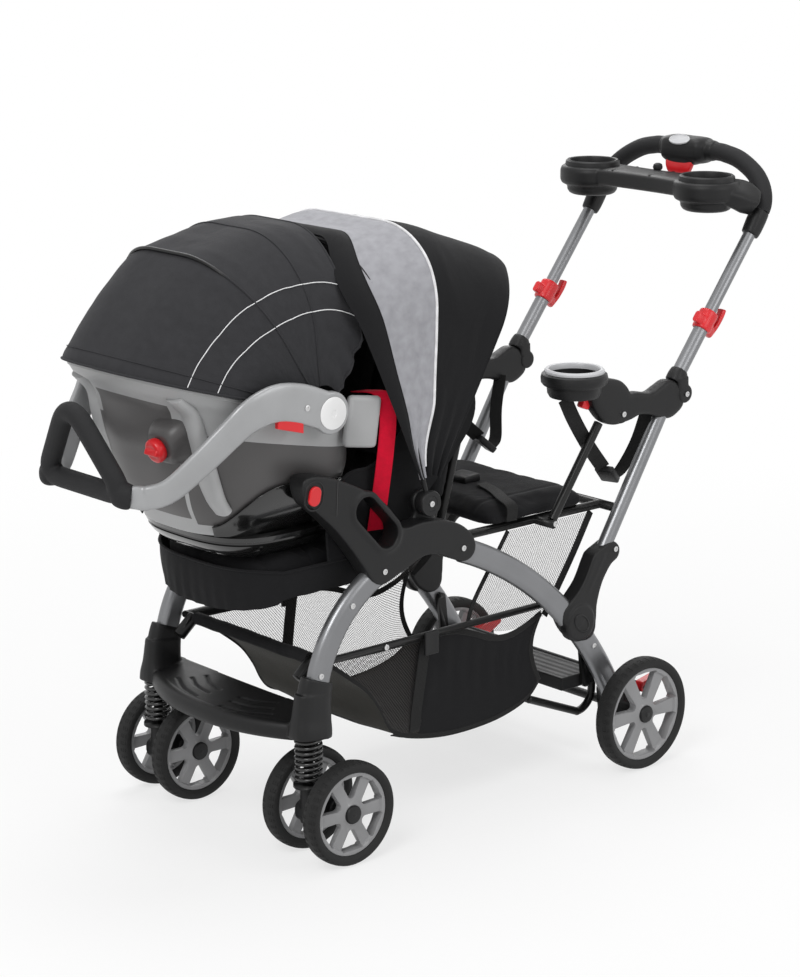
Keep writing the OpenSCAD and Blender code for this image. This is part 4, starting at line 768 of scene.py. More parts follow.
def make_side_hubs():
    """The side hubs with a flared oval hole, an ear for the canopy and a red button."""
    def hub():
        body = plate("hub", HUB_OUTLINE, HUB_IN, HUB_OUT)
        flare = tube("flare", hub_loop(HUB_OUT - 2.5, HUB_HOLE, 117, 53, HOLE_LEAN), 6 * MM, True, 4)
        ear = lathe("ear", disc_profile(EAR_RADIUS, HUB_IN, EAR_MID + EAR_HALF), mm(0, *CANOPY_PIVOT),
                    (1, 0, 0))
        neck = band("neck", [(EAR_MID, CANOPY_PIVOT[0] + 3, z, EAR_HALF, w)
                             for z, w in ((505, 30), (522, 24), (540, 20))])
        form = fuse([body, flare, ear, neck], 2.0, 2)
        hole = [hub_loop(x, HUB_HOLE, 108, 44, HOLE_LEAN) for x in (150, 240)]
        carve(form, cap_ends(grid_object("hole", hole, closed=True)))
        return round_over(form, 1.8, 10)

    pair(hub, "side_hub_moulding", "side_hub", "chassis", *MOULDED)
    seam = [mm(HUB_OUT + 0.1, -331 - 0.05 * (626 - z), z) for z in (622, 605, 590, 575, 566)]
    pair(lambda: tube("seam", seam, 0.8 * MM), "hub_parting", None, "chassis", "black_plastic", "gloss_black")
    ring = hub_loop(HUB_OUT - 0.4, HUB_BUTTON, 46, 36, BUTTON_LEAN, 40)
    pair(lambda: tube("ring", ring, 1.6 * MM, True), "hub_button_ring", None, "chassis", *MOULDED)
    for side, way in SIDES:
        node = f"hub_button_{side}"
        button = solid_copy(node)
        low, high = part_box(node)
        middle = (low + high) / 2
        round_over(button, 0.8, 4)
        for v in button.data.vertices:
            move = v.co - middle
            v.co = mm(0, *HUB_BUTTON) + Vector((v.co.x - way * 4.6 * MM, move.y * 1.25, move.z * 1.2))
        dress(button, f"{node}_moulding", body_of(node), *RED)
        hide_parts(node)


LINK_OUTLINE = [
    (242, 385), (250, 396), (272, 406), (285, 411), (299, 409), (309, 396), (305, 381), (290, 372), (279, 360),
    (266, 339), (256, 308), (254, 281), (252, 262), (243, 249), (221, 246), (195, 260), (177, 285), (173, 303),
    (183, 316), (203, 330), (224, 352)]
LINK_DISC = (213, 281)
LINK_PLATE = [(CORE, 0), (21, 0), (21, 2), (19.4, 3), (17.2, 3), (16.4, 2), (CORE, 2.4)]
LINK_PLATE_X, LINK_PLATE_LEAN = 215.4, math.radians(-42)


def make_rear_links():
    """The links between the rear legs and the lower tubes, with a bare round boss at the foot."""
    def link():
        body = plate("link", LINK_OUTLINE, 182, 212)
        disc = lathe("disc", [(CORE, 196), (34, 196), (34, 211), (31, 216.5), (CORE, 217)], mm(0, *LINK_DISC),
                     (1, 0, 0), 56)
        run = ((232, 330), (252, 362), (266, 385), (271, 393))
        sleeve = band("sleeve", [(TUBE_X, y, z, 14.5, 15) for y, z in run], edge=0.85)
        return fuse([body, disc, sleeve], 1.8, 8)

    pair(link, "rear_link_moulding", "rear_link", "chassis", *MOULDED)

    def boss():
        disc = lathe("plate", LINK_PLATE, Vector(), (1, 0, 0))
        for v in disc.data.vertices:
            v.co.z *= 0.66
        place = Matrix.Translation(mm(LINK_PLATE_X, *LINK_DISC))
        disc.data.transform(place @ Matrix.Rotation(LINK_PLATE_LEAN, 4, "X"))
        return disc

    pair(boss, "link_plate", None, "chassis", *MOULDED, 35)


FOOT_FRONT, FOOT_REAR, FOOT_X = -458, -336, 196
FOOT_GROOVES = [[(34, -428), (80, -419), (124, -398)], [(30, -405), (68, -399), (106, -382)],
                [(28, -384), (60, -377), (92, -361)]]
FOOT_SOCKET = [
    # height, half width, half length and place along of the socket of a front leg
    (208, 27, 36, -378), (222, 25.5, 36, -377), (240, 21, 34.5, -375), (262, 18.5, 33.5, -373),
    (279, 17.6, 33, -371)]
FOOT_COLLAR = [(272, 16.4, 30.5, -370), (286, 16.2, 30.2, -367), (300, 15.8, 29.6, -362)]


def foot_edge(x):
    """Where the bowed front edge of the footrest is."""
    return FOOT_FRONT + 62 * min(abs(x) / FOOT_X, 1) ** 2.3


def make_footrest():
    """A tread with a bullnose front that runs into the sockets of the front legs."""
    xs = [FOOT_X * (k / 20 - 1) for k in range(41)]
    lip = band("lip", [(x, foot_edge(x) + 13, 217, 13, 15.5) for x in xs[::4]], side=(0, 1, 0), edge=0.85)
    rows = []
    for x in xs:
        front = foot_edge(x) + 12
        dish = 3 * (x / FOOT_X) ** 2
        top = [(front + (FOOT_REAR - front) * k / 12, 229 + 8 * (k / 12) ** 1.4 + dish) for k in range(13)]
        under = [(y, z - 15 + dish) for y, z in reversed(top)]
        rows.append([mm(x, y, z) for y, z in top + under])
    tread = cap_ends(grid_object("tread", rows, closed=True))
    parts = [lip, tread]
    for way in (1, -1):
        for name, sizes in (("socket", FOOT_SOCKET), ("collar", FOOT_COLLAR)):
            parts.append(band(name, [(way * TUBE_X, y, z, a, b) for z, a, b, y in sizes], edge=0.7))
    foot = fuse(parts, 1.8, 6)
    lines = [p for groove in FOOT_GROOVES for way in (1, -1)
             for p in curved([mm(x * way, y, 0) for x, y in groove], 10)]
    tree = kdtree.KDTree(len(lines))
    for k, p in enumerate(lines):
        tree.insert(p, k)
    tree.balance()
    for v in foot.data.vertices:
        if v.normal.z > 0.7 and v.co.z > 0.222 and abs(v.co.x) < 0.14:
            v.co.z -= 2.6 * MM * bump(tree.find((v.co.x, v.co.y, 0))[2], 0, 3.0 * MM)
    dress(foot, "footrest_tread", "chassis", *MOULDED, smooth=60)
    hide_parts("footrest")


# Wheels, springs and screws

TREAD_BLOCKS, SPOKES = 84, 6


def tyre(radius, width):
    """A foam tyre with rows of tread blocks."""
    h, bead = width / 2, radius - 17 * MM
    side = [(bead, h - 5 * MM), (bead + 4 * MM, h - 1.2 * MM), (radius - 8 * MM, h),
            (radius - 4 * MM, h - 1 * MM), (radius - 1.6 * MM, h - 3.4 * MM), (radius - 0.5 * MM, h - 8 * MM),
            (radius, h - 13 * MM)]
    profile = side + [(r, -x) for r, x in reversed(side)]
    obj = lathe("tyre", profile, Vector(), (1, 0, 0), TREAD_BLOCKS, 1)
    depth = settings().sizes.tread
    step = math.tau / TREAD_BLOCKS

    def groove(face):
        p = face.calc_center_median()
        turn = math.atan2(p.z, p.y) / step + (0.0 if p.x > 0 else 1.0)
        return math.hypot(p.y, p.z) > radius - 3.2 * MM and abs(p.x) > 3.5 * MM and int(turn // 1) % 2 == 0

    return editing(obj, lambda: pick(obj, groove),
                   lambda: bpy.ops.mesh.inset(thickness=0.5 * MM, depth=-depth, use_individual=True))


def rim(radius, width):
    """A moulded wheel with six windows between wide spokes."""
    bead, h = radius - 17 * MM, width / 2 - 6 * MM
    out, hub = bead - 7 * MM, 17 * MM
    front = [(hub * 0.3, h), (hub, h), (hub + 3 * MM, h - 2.5 * MM), (out - 2 * MM, h - 4.5 * MM),
             (out, h - 0.5 * MM), (bead - 1 * MM, h + 0.5 * MM), (bead + 0.4 * MM, h - 1 * MM)]
    back = [(r, 2 * MM - x) if hub < r < out else (r, -x) for r, x in front]
    obj = lathe("rim", front + back[::-1], Vector(), (1, 0, 0), 96, 1)
    inner, outer = hub + 9 * MM, out - 1 * MM
    bpy.ops.object.select_all(action="DESELECT")
    bpy.ops.mesh.primitive_cube_add(size=1)
    cutter = bpy.context.object
    narrow, wide = inner * math.tan(math.radians(10)), outer * math.tan(math.radians(20.5))
    for v in cutter.data.vertices:
        half, reach = (wide, outer) if v.co.z > 0 else (narrow, inner)
        v.co = (math.copysign(width, v.co.x), math.copysign(half, v.co.y), reach)
    editing(cutter, lambda: pick(cutter, lambda e: abs(e.verts[0].co.x - e.verts[1].co.x) > width, "edges"),
            lambda: bpy.ops.mesh.bevel(offset=4.5 * MM, segments=4, affect="EDGES"))
    windows = [cutter] + [twin(cutter, "window") for _ in range(SPOKES - 1)]
    for k, window in enumerate(windows):
        window.data.transform(Matrix.Rotation(math.tau * k / SPOKES, 4, "X"))
    only(cutter)
    for window in windows:
        window.select_set(True)
    bpy.ops.object.join()
    carve(obj, cutter)
    return modify(obj, "BEVEL", width=1.1 * MM, segments=2, limit_method="ANGLE", angle_limit=math.radians(38))


def hub_cap(width, radius, reach):
    """A domed cap that closes the hub on both faces."""
    h = width / 2 - 6.5 * MM
    side = [(radius, h), (radius, h + reach * 0.5), (radius - 1.5 * MM, h + reach * 0.85),
            (radius * 0.55, h + reach), (0.2 * MM, h + reach)]
    return lathe("cap", side + [(r, -x) for r, x in reversed(side)], Vector(), (1, 0, 0), 40, 1)


def make_wheels():
    """Tyre, rim and cap of each wheel, made once for the front and once for the rear."""
    front = {f"front_wheel_{k}": mm(x, FRONT_AXLE, FRONT_RADIUS) for k, x in FRONT_WHEELS.items()}
    rear = {f"rear_wheel_{k}": mm(REAR_TRACK * s, REAR_AXLE, REAR_RADIUS) for k, s in SIDES}
    sets = [(FRONT_RADIUS, FRONT_WIDE, front), (REAR_RADIUS, REAR_WIDE, rear)]
    for radius, width, places in sets:
        parts = [(tyre(radius * MM, width * MM), "tyre", "tyre_rubber"),
                 (rim(radius * MM, width * MM), "rim", "rim_grey"),
                 (hub_cap(width * MM, 15.5 * MM, 6 * MM), "cap", "black_moulding")]
        for node, place in places.items():
            for part, label, material in parts:
                piece = twin(part, label, place)
                dress(piece, f"{node}_{label}", body_of(node), "wheel", material, smooth=38)
                if label == "tyre":
                    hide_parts(node)
        for part, _, _ in parts:
            bpy.data.objects.remove(part)


def make_springs():
    """The coil springs, each a wire wound between the ends of its CAD spring."""
    wire, turns, steps = 3.0 * MM, 9, 26
    for side, _ in SIDES:
        node = f"spring_{side}"
        low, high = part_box(node)
        middle, ring = (low + high) / 2, (high.x - low.x) / 2 - wire + 0.6 * MM
        points = []
        for k in range(turns * steps + 1):
            a = math.tau * k / steps
            rise = (high.z - low.z - 2 * wire) * k / (turns * steps)
            x, y = middle.x + ring * math.cos(a), middle.y + ring * math.sin(a)
            points.append(Vector((x, y, low.z + wire + rise)))
        obj = dress(tube("coil", points, wire, sides=3), f"spring_{side}_coil", body_of(node), "spring_steel",
                    "spring_black", smooth=60)
        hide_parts(node)
        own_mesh(obj)


def screw_head(radius=4.8, rise=2.4):
    """A pan head with a sunk drive, facing +X at the origin."""
    bpy.ops.object.select_all(action="DESELECT")
    bpy.ops.mesh.primitive_cylinder_add(vertices=20, radius=radius * MM, depth=rise * MM,
                                        location=(rise * MM / 2, 0, 0), rotation=(0, math.pi / 2, 0))
    obj = bpy.context.object
    bpy.ops.object.transform_apply(location=True, rotation=True, scale=True)
    return editing(obj, lambda: pick(obj, lambda f: f.normal.x > 0.9),
                   lambda: bpy.ops.mesh.inset(thickness=radius * 0.28 * MM, depth=0.35 * MM),
                   lambda: bpy.ops.mesh.inset(thickness=radius * 0.22 * MM, depth=0),
                   lambda: bpy.ops.mesh.inset(thickness=0.2 * MM, depth=-0.9 * MM))


SCREWS = [
    # place in millimetres on the near side, and the body that carries it
    ("hub_rear", (213.8, -63, 465), "chassis"), ("hub_front", (213.8, -234, 457), "chassis"),
    ("link_top", (211.2, 297, 397), "chassis"), ("armrest", (213, 309.1, 633.7), "chassis"),
    ("leg_high", (210.3, -299, 412), "chassis"), ("leg_low", (210.3, -365, 309), "chassis"),
    ("canopy", (209.2, -129, 550), "canopy_bow"), ("rail", (185.2, -206, 318), "chassis"),
    ("knee", (215.5, 463.7, 647.3), "chassis"), ("strut_foot", (198.2, 162, 463), "chassis"),
    ("plate_top", (210.4, 249, 232), "chassis"), ("carrier", (214.2, -392, 748), "carrier_handle"),
]


def make_screws():
    """A screw head at each place, on both sides."""
    pattern = screw_head()
    first = None
    for name, place, body in SCREWS:
        for side, way in SIDES:
            screw = twin(pattern, "screw", mm(*place))
            if way < 0:
                screw = mirrored(screw)
            dress(screw, f"screw_{name}_{side}", body, "screw_steel", "zinc_steel", smooth=35)
            first = first or screw
    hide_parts("fasteners")
    bpy.data.objects.remove(pattern)


def mirrored(obj):
    """The mirror image of a piece, in its stead."""
    copy = twin(obj, "mirrored", mirror=True)
    bpy.data.objects.remove(obj)
    return copy


# Cushions

def swell(obj, cap):
    """Lets air pressure fill a closed cloth skin, and holds it to a farthest move."""
    start = [v.co.copy() for v in obj.data.vertices]
    scene = bpy.context.scene
    only(obj)
    air = obj.modifiers.new("Air", "CLOTH")
    air.settings.use_pressure, air.settings.uniform_pressure_force = True, 4
    air.settings.quality, air.settings.mass = 5, 0.3
    air.settings.effector_weights.gravity = 0
    air.point_cache.frame_start, air.point_cache.frame_end = 1, 20
    for step in range(1, 21):
        scene.frame_set(step)
    bpy.ops.object.modifier_apply(modifier=air.name)
    scene.frame_set(1)
    for v, rest in zip(obj.data.vertices, start):
        move = v.co - rest
        if move.length > cap:
            v.co = rest + move * (cap / move.length)


SIDE_CHANNEL = 118


def cushion(node, name, shrink, channels, along, face, flat=None, voxel=5.0, shape=None):
    """A padded seat: a cloth skin blown up from the CAD solid, with sewn channels."""
    obj = solid_copy(node)
    low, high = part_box(node)
    centre = (low + high) / 2
    for v in obj.data.vertices:
        v.co = centre + (v.co - centre) * shrink
    modify(obj, "REMESH", mode="VOXEL", voxel_size=voxel * MM)
    if shape:
        for v in obj.data.vertices:
            v.co = shape(v.co)
    swell(obj, settings().sizes.puff)
    modify(obj, "SUBSURF", levels=1, render_levels=1)
    face, along = Vector(face).normalized(), Vector(along).normalized()
    across = face.cross(along)
    normals = [v.normal.copy() for v in obj.data.vertices]
    for v, out in zip(obj.data.vertices, normals):
        p = v.co - centre
        if out.dot(face) > 0.25:
            dip = sum(depth * bump(p.dot(along), spot * MM, 5 * MM) for spot, depth in channels)
            dip += 1.5 * bump(abs(p.dot(across)), SIDE_CHANNEL * MM, 4.5 * MM)
            v.co -= face * dip * MM
        v.co += out * 0.0012 * wave(v.co, 26, 3)
        if flat is not None and v.co.z < flat * MM:
            v.co.z = flat * MM
    dress(obj, name, body_of(node), "black_fabric", "cushion_cloth", smooth=70)
    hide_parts(node)
    return obj


SEAT_FRONT, SEAT_REAR, SEAT_X, SEAT_ROUND = -455, -127, 158, 57


def seat_front(x):
    """Where the rounded front edge of the front seat is."""
    return SEAT_FRONT + SEAT_ROUND * min(abs(x) / SEAT_X, 1) ** 3


def round_front(p):
    """Draws a point of the front seat back to its rounded front."""
    share = (seat_front(p.x / MM) - SEAT_REAR) / (SEAT_FRONT - SEAT_REAR)
    return Vector((p.x, SEAT_REAR * MM + (p.y - SEAT_REAR * MM) * share, p.z))


def make_cushions():
    """The seat cushions, each with its sewn channels, and the cloth round them."""
    cushion("jump_seat", "jump_seat_cushion", 0.975, [], (0, 1, 0), (0, 0, 1), 470.2,
            shape=lambda p: Vector((p.x * 1.13, 0.04 + (p.y - 0.04) * 1.22, p.z)))
    cushion("front_seat", "front_seat_cushion", 0.975, [(-110, 3.5), (-30, 3.5), (60, 3.5)],
            (0, 1, 0), (0, 0, 1), 448.2, shape=round_front)
    lean = math.radians(16)
    cushion("seat_back", "seat_back_cushion", 0.97, [(-80, 3.5), (0, 3.5), (80, 3.5)],
            (0, math.sin(lean), math.cos(lean)), (0, -math.cos(lean), math.sin(lean)))
    make_seat_skirts()


def skirt(name, path, drop, swing):
    """A hanging edge of cloth along a path, with soft folds."""
    rows = []
    for j in range(9):
        t = j / 8
        row = []
        for i, (p, out) in enumerate(path):
            fold = math.sin(i * 1.9) * 0.9 + wave(p, 18, j * 0.1)
            deep = drop * (0.62 + 0.38 * math.sqrt(max(0, 1 - (p.x / path[0][0].x) ** 2)))
            row.append(p + out * (swing * t * t + 1.6 * fold * t) * MM - Vector((0, 0, deep * t * MM)))
        rows.append(row)
    return thicken(grid_object(name, rows, flat_uv(rows)))


def seat_edge(half, rear, z, grow=0.0):
    """The sides and the rounded front of the seat, with the way out at each point."""
    corner = seat_front(half) - grow
    path = [(mm(half, rear + (corner - rear) * k / 14, z), Vector((1, -0.3 * k / 14, 0)).normalized())
            for k in range(14)]
    for k in range(41):
        x = half - 2 * half * k / 40
        slope = math.copysign(3 * SEAT_ROUND / SEAT_X * min(abs(x) / SEAT_X, 1) ** 2, x)
        path.append((mm(x, seat_front(x) - grow, z), Vector((slope, -1, 0)).normalized()))
    return path + [(Vector((-p.x, p.y, p.z)), Vector((-o.x, o.y, 0))) for p, o in reversed(path[:14])]


def make_seat_skirts():
    """The cloth that hangs round the front seat, its piping and the seat sides."""
    front = skirt("front_seat_skirt", seat_edge(160, -152, 474), 74, -7)
    dress(front, "front_seat_skirt", "chassis", "black_fabric", "black_cloth", smooth=60)
    edge = tube("edge", [p for p, _ in seat_edge(161, -152, 474.5, 1.5)], 2.2 * MM)
    dress(edge, "front_seat_piping", "chassis", "black_fabric", "cushion_cloth")
    make_seat_wings()


WING_FRONT = [(-306, 476), (-310, 530), (-300, 580), (-268, 614), (-215, 620), (-172, 655), (-130, 706),
              (-88, 752), (-46, 772)]
WING_REAR = [(-150, 474), (-138, 500), (-118, 530), (-92, 560), (-50, 600), (-6, 648), (8, 690),
             (-6, 735), (-30, 768)]
WING_X = 161


def make_seat_wings():
    """Cloth sides that close the front seat between its cushion and its back."""
    front, rear = (curved([mm(0, *p) for p in line], 4) for line in (WING_FRONT, WING_REAR))
    for side, way in SIDES:
        def stretched(p, j, _):
            p.x = way * (WING_X + 3 * min(1, j / 6) + 1.6 * wave(p, 16, 3)) * MM
            return p

        rows = spanned(front, rear, 13, stretched)
        obj = thicken(close_up(grid_object("wing", rows, flat_uv(rows))))
        dress(obj, f"seat_wing_{side}", "chassis", "black_fabric", "black_cloth", smooth=60)
        edge = tube("edge", [r[0] for r in rows], 2.4 * MM)
        dress(edge, f"seat_wing_piping_{side}", "chassis", "black_fabric", "cushion_cloth")


# Canopies

def arch(w, r, bend, r0, count):
    """Evenly spaced points over an arch, from its near foot over the top to its far foot."""
    straight, turn = r - bend - r0, math.pi / 2 * bend
    top = 2 * (w - bend)
    total = 2 * (straight + turn) + top
    points = []
    for k in range(count):
        s = total * k / (count - 1)
        side = 1
        if s > total / 2:
            s, side = total - s, -1
        if s < straight:
            x, up = w, r0 + s
        elif s < straight + turn:
            a = (s - straight) / bend
            x, up = w - bend + bend * math.cos(a), r - bend + bend * math.sin(a)
        else:
            x, up = w - bend - (s - straight - turn), r
        points.append((side * x, up))
    return points


def leaned(pivot, lean, x, up):
    """A place at a height above a pivot, leaned back by an angle in degrees."""
    a = math.radians(lean)
    return mm(x, pivot[0] + up * math.sin(a), pivot[1] + up * math.cos(a))


CANOPY_PIVOT, CANOPY_REACH, CANOPY_X, CANOPY_BEND, CANOPY_FOOT = (-129.06, 550.08), 452.7, 208.5, 130, 46
CANOPY_FRONT, CANOPY_MID, CANOPY_REAR, SLEEVE_EDGE = -16.0, 9.0, 35.0, -9.5
HOOD_PIVOT, HOOD_X, HOOD_BEND, HOOD_FOOT = (-340, 732), 190, 150, 40
HOOD_REAR, HOOD_BOW, HOOD_HEM = 12.0, -32.0, -75.0
HOOD_SLACK = 118  # height above the pivot under which the rear edge of the hood is slack
ARCH_POINTS = 121


def canopy_reach(lean):
    """How high the canopy stands over its pivot, with a dip between its bows."""
    t = 4 * (lean - CANOPY_FRONT) / (CANOPY_MID - CANOPY_FRONT)
    if lean > CANOPY_MID:
        t = 4 + 4 * (lean - CANOPY_MID) / (CANOPY_REAR - CANOPY_MID)
    return CANOPY_REACH - 10 * math.sin(math.pi * t / 4) ** 2 - 2 * t


TOP_SHIFT = [(-16, 0), (-9.5, -1), (9, -8), (35, -1)]
SIDE_SHIFT = [(-16, -9.5), (-9.5, -8.5), (9, -7), (35, -5)]


def smooth_step(share):
    """An eased step from 0 to 1."""
    share = min(max(share, 0), 1)
    return share * share * (3 - 2 * share)


def lookup(u, table):
    """A value between the rows of a table."""
    for (a, low), (b, high) in zip(table, table[1:]):
        if u <= b:
            return low + (high - low) * (u - a) / (b - a)
    return table[-1][1]


def canopy_place(lean, x, up):
    """A point of the canopy cloth, whose sides hang further forward, with gathers and creases."""
    side = smooth_step((abs(x) - 80) / 128)
    low = max(0.0, 1 - (up - CANOPY_FOOT) / 210)
    gather = 7 * low * low * (0.5 + 0.5 * math.sin(lean * 0.75)) if lean > SLEEVE_EDGE else 0
    shift = lookup(lean, TOP_SHIFT) * (1 - side) + lookup(lean, SIDE_SHIFT) * side
    shift -= 12 * smooth_step((170 - up) / 110) * bump(lean, 4, 14)
    p = leaned(CANOPY_PIVOT, lean + shift, x, up)
    crease = wave((x * MM * 0.6, lean * 0.02, up * MM), 9, 5 if x > 0 else 9)
    inward = 1.8 * abs(crease) if abs(x) > 150 else 0
    return p - Vector((math.copysign((gather + inward) * MM, x), 0, 1.4 * MM * abs(crease)))


CANOPY_BLEND = ("chassis", "canopy_bow", leaned(CANOPY_PIVOT, CANOPY_REAR, 0, 420),
                leaned(CANOPY_PIVOT, CANOPY_FRONT + 2, 0, 440))
HOOD_BLEND = ("carrier", "carrier_bow", leaned(HOOD_PIVOT, HOOD_REAR, 0, 260),
              leaned(HOOD_PIVOT, HOOD_BOW, 0, 280))


def make_canopy():
    """The canopy cloth with its sleeve, grey panel, piping, seams and bow pockets."""
    leans = [CANOPY_FRONT + (CANOPY_REAR - CANOPY_FRONT) * k / 68 for k in range(69)]
    rows = []
    for lean in leans:
        swing = math.pi * (lean - CANOPY_FRONT + 0.4) / (SLEEVE_EDGE - CANOPY_FRONT + 0.4)
        sleeve = 4.5 * max(0.0, math.sin(swing))
        puff = sleeve if lean < SLEEVE_EDGE else 0.0
        hem = 1.6 * bump(lean, CANOPY_REAR - 1.2, 0.9)
        r = canopy_reach(lean) + puff + hem
        rows.append([canopy_place(lean, x, up) for x, up in
                     arch(CANOPY_X + 0.6 * puff, r, CANOPY_BEND, CANOPY_FOOT, ARCH_POINTS)])
    obj = grid_object("canopy_cloth", rows, flat_uv(rows))
    mids = [(a + b) / 2 for a, b in zip(leans, leans[1:])]
    for face in obj.data.polygons:
        lean = mids[face.index // (ARCH_POINTS - 1)]
        face.material_index = 1 if SLEEVE_EDGE < lean < CANOPY_MID else 0
    thicken(close_up(obj), -1)
    dress(obj, "canopy_cloth", CANOPY_BLEND, "canopy_fabric", "black_cloth", "grey_cloth", smooth=60)
    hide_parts("canopy_fabric")

    def line(name, lean, radius, material, up_from, lift):
        points = [canopy_place(lean, x, up) for x, up in
                  arch(CANOPY_X + lift, canopy_reach(lean) + lift, CANOPY_BEND, CANOPY_FOOT, ARCH_POINTS)
                  if up > up_from]
        cord = tube(name, points, radius)
        return dress(cord, name, CANOPY_BLEND, "canopy_fabric", material, smooth=60)

    piping = line("canopy_piping", CANOPY_MID, settings().sizes.piping, "white_cord", 62, 0.9)
    seam = line("canopy_sleeve_seam", SLEEVE_EDGE, 1.1 * MM, "cushion_cloth", 62, -0.3)
    hem = line("canopy_rear_hem", CANOPY_REAR - 0.3, 2.6 * MM, "cushion_cloth", 50, -1.5)
    bows = [line(f"canopy_bow_pocket_{k}", lean, 4.2 * MM, "cushion_cloth", 52, -6)
            for k, lean in (("mid", CANOPY_MID), ("rear", CANOPY_REAR - 2))]
    make_canopy_ties()


CANOPY_BOOT = [(11, -9), (20.6, -9), (21.6, -7), (21.6, 6), (20, 8.4), (13, 8.4), (12, 7.2), (11, 7.2)]


def make_canopy_ties():
    """A round boot at each canopy foot."""
    for side, way in SIDES:
        centre = mm(way * 201.8, *CANOPY_PIVOT)
        boot = lathe("boot", CANOPY_BOOT, centre, (way, 0, 0), 40)
        dress(boot, f"canopy_boot_{side}", "canopy_bow", *MOULDED)


HOOD_REACH = [(-75, 305), (-66, 293), (-55, 284), (-42, 281), (-32, 284), (-27, 278), (-16, 270), (-2, 273),
              (12, 279)]


def hood_reach(lean):
    """How high the hood stands over its pivot, with the corners of its table rounded."""
    return sum(lookup(min(max(lean + d, HOOD_HEM), HOOD_REAR), HOOD_REACH) for d in (-1.5, 0, 1.5)) / 3


def hood_place(lean, x, up):
    """A point of the hood, with its creases and its slack rear edge."""
    crease = wave((x * MM * 0.5, lean * 0.016, up * MM * 0.7), 8, 2 if x > 0 else 7)
    rear = smooth_step((lean + 6) / 18)
    low = bump(max(up, HOOD_SLACK), HOOD_SLACK, 62) * min(1, max(0, (abs(x) - 90) / 30))
    ruffle = 5 * rear * low * math.sin(up * 0.16 + lean * 0.3)
    back = rear * (28 * low + 13 * smooth_step((HOOD_SLACK - up) / 75))
    p = leaned(HOOD_PIVOT, lean + back, x - math.copysign(ruffle + 3 * rear * low, x), up)
    middle = mm(0, p.y / MM, HOOD_PIVOT[1])
    return p - (p - middle).normalized() * 2.0 * abs(crease) * MM


def hood_side(lean, up):
    """How far out the hood is at a height above its pivot."""
    rise = up - (hood_reach(lean) - HOOD_BEND)
    return HOOD_X if rise < 0 else HOOD_X - HOOD_BEND + math.sqrt(max(HOOD_BEND ** 2 - rise ** 2, 0))


HOOD_STITCHES = {
    # lean and height of the white lines along the sides
    "high": [(-75, 247), (-60, 231), (-52, 224), (-36, 216), (-28, 210), (-12, 201), (4, 198), (9, 197)],
    "low": [(-75, 206), (-60, 192), (-52, 183), (-36, 170), (-20, 161), (-4, 158), (9, 157)],
}


def make_hood():
    """The hood of the carrier with its seams, edges and stitched lines."""
    s = settings().sizes
    leans = [HOOD_HEM + (HOOD_REAR - HOOD_HEM) * k / 76 for k in range(77)]
    rows = []
    for lean in leans:
        hem = 1.8 * bump(lean, HOOD_HEM + 2.2, 2.2)
        r = hood_reach(lean) + hem
        rows.append([hood_place(lean, x, up) for x, up in arch(HOOD_X, r, HOOD_BEND, HOOD_FOOT, ARCH_POINTS)])
    obj = thicken(close_up(grid_object("carrier_hood", rows, flat_uv(rows))), -1)
    dress(obj, "carrier_hood", HOOD_BLEND, "charcoal_fabric", "charcoal_cloth", smooth=60)
    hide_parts("carrier_canopy")

    def across(name, lean, radius, lift):
        points = [hood_place(lean, x, up) for x, up in
                  arch(HOOD_X + lift, hood_reach(lean) + lift, HOOD_BEND, HOOD_FOOT, ARCH_POINTS)]
        cord = tube(name, points, radius)
        return dress(cord, name, HOOD_BLEND, "charcoal_fabric", "charcoal_cloth", smooth=60)

    trims = [across("hood_bow_seam", HOOD_BOW, 1.6 * MM, 0.4),
             across("hood_rear_seam", -6.0, 1.4 * MM, 0.3),
             across("hood_rear_edge", HOOD_REAR, 2.2 * MM, -0.5),
             across("hood_hem_edge", HOOD_HEM, 2.0 * MM, 0.6),
             across("hood_hem_stitch", HOOD_HEM + 4.4, s.stitch, 1.2)]
    for name, heights in HOOD_STITCHES.items():
        for side, way in SIDES:
            ups = [(lean, lookup(lean, heights)) for lean in range(-75, 10)]
            points = [hood_place(lean, way * (hood_side(lean, up) + 1.0), up + 0.3) for lean, up in ups]
            label = f"hood_stitch_{name}_{side}"
            stitch = tube(label, points, s.stitch, sides=2)
            trims.append(dress(stitch, label, HOOD_BLEND, "charcoal_fabric", "white_cord"))


# Basket

BASKET_FLOOR = [(-331, 316), (-312, 306), (-272, 277), (-231, 244), (-205, 210), (-188, 178), (-166, 156),
                (-120, 141), (-60, 131), (0, 129), (60, 133), (110, 144), (140, 158), (160, 178)]
BASKET_TOP = [(-331, 316), (-303, 314), (-262, 313), (-215, 312), (-175, 312), (-140, 312), (-105, 312),
              (-70, 312), (-38, 308), (0, 296), (40, 280), (80, 275), (120, 284), (158, 300)]
BASKET_X, BASKET_NET_END = 171.5, -0.118


def basket_wall(way):
    """A net side that hangs from the rail to the floor, with gathers behind the clip."""
    floor, top = curved([mm(0, *p) for p in BASKET_FLOOR], 4), curved([mm(0, *p) for p in BASKET_TOP], 4)

    def hung(p, _, t):
        pull = 9 * math.sin(math.pi * t) * (1 - 0.6 * t)
        fold = 3.2 * math.sin(p.y * 190) * math.sin(math.pi * min(t * 1.3, 1)) * bump(p.y, 0.03, 0.09)
        p.y -= 20 * MM * math.sin(math.pi * t) * smooth_step((p.y - 0.06) / 0.1)
        p.x = way * (BASKET_X - 5 * t ** 3 - pull * 0.5 + fold) * MM
        return p

    return spanned(top, floor, 13, hung)


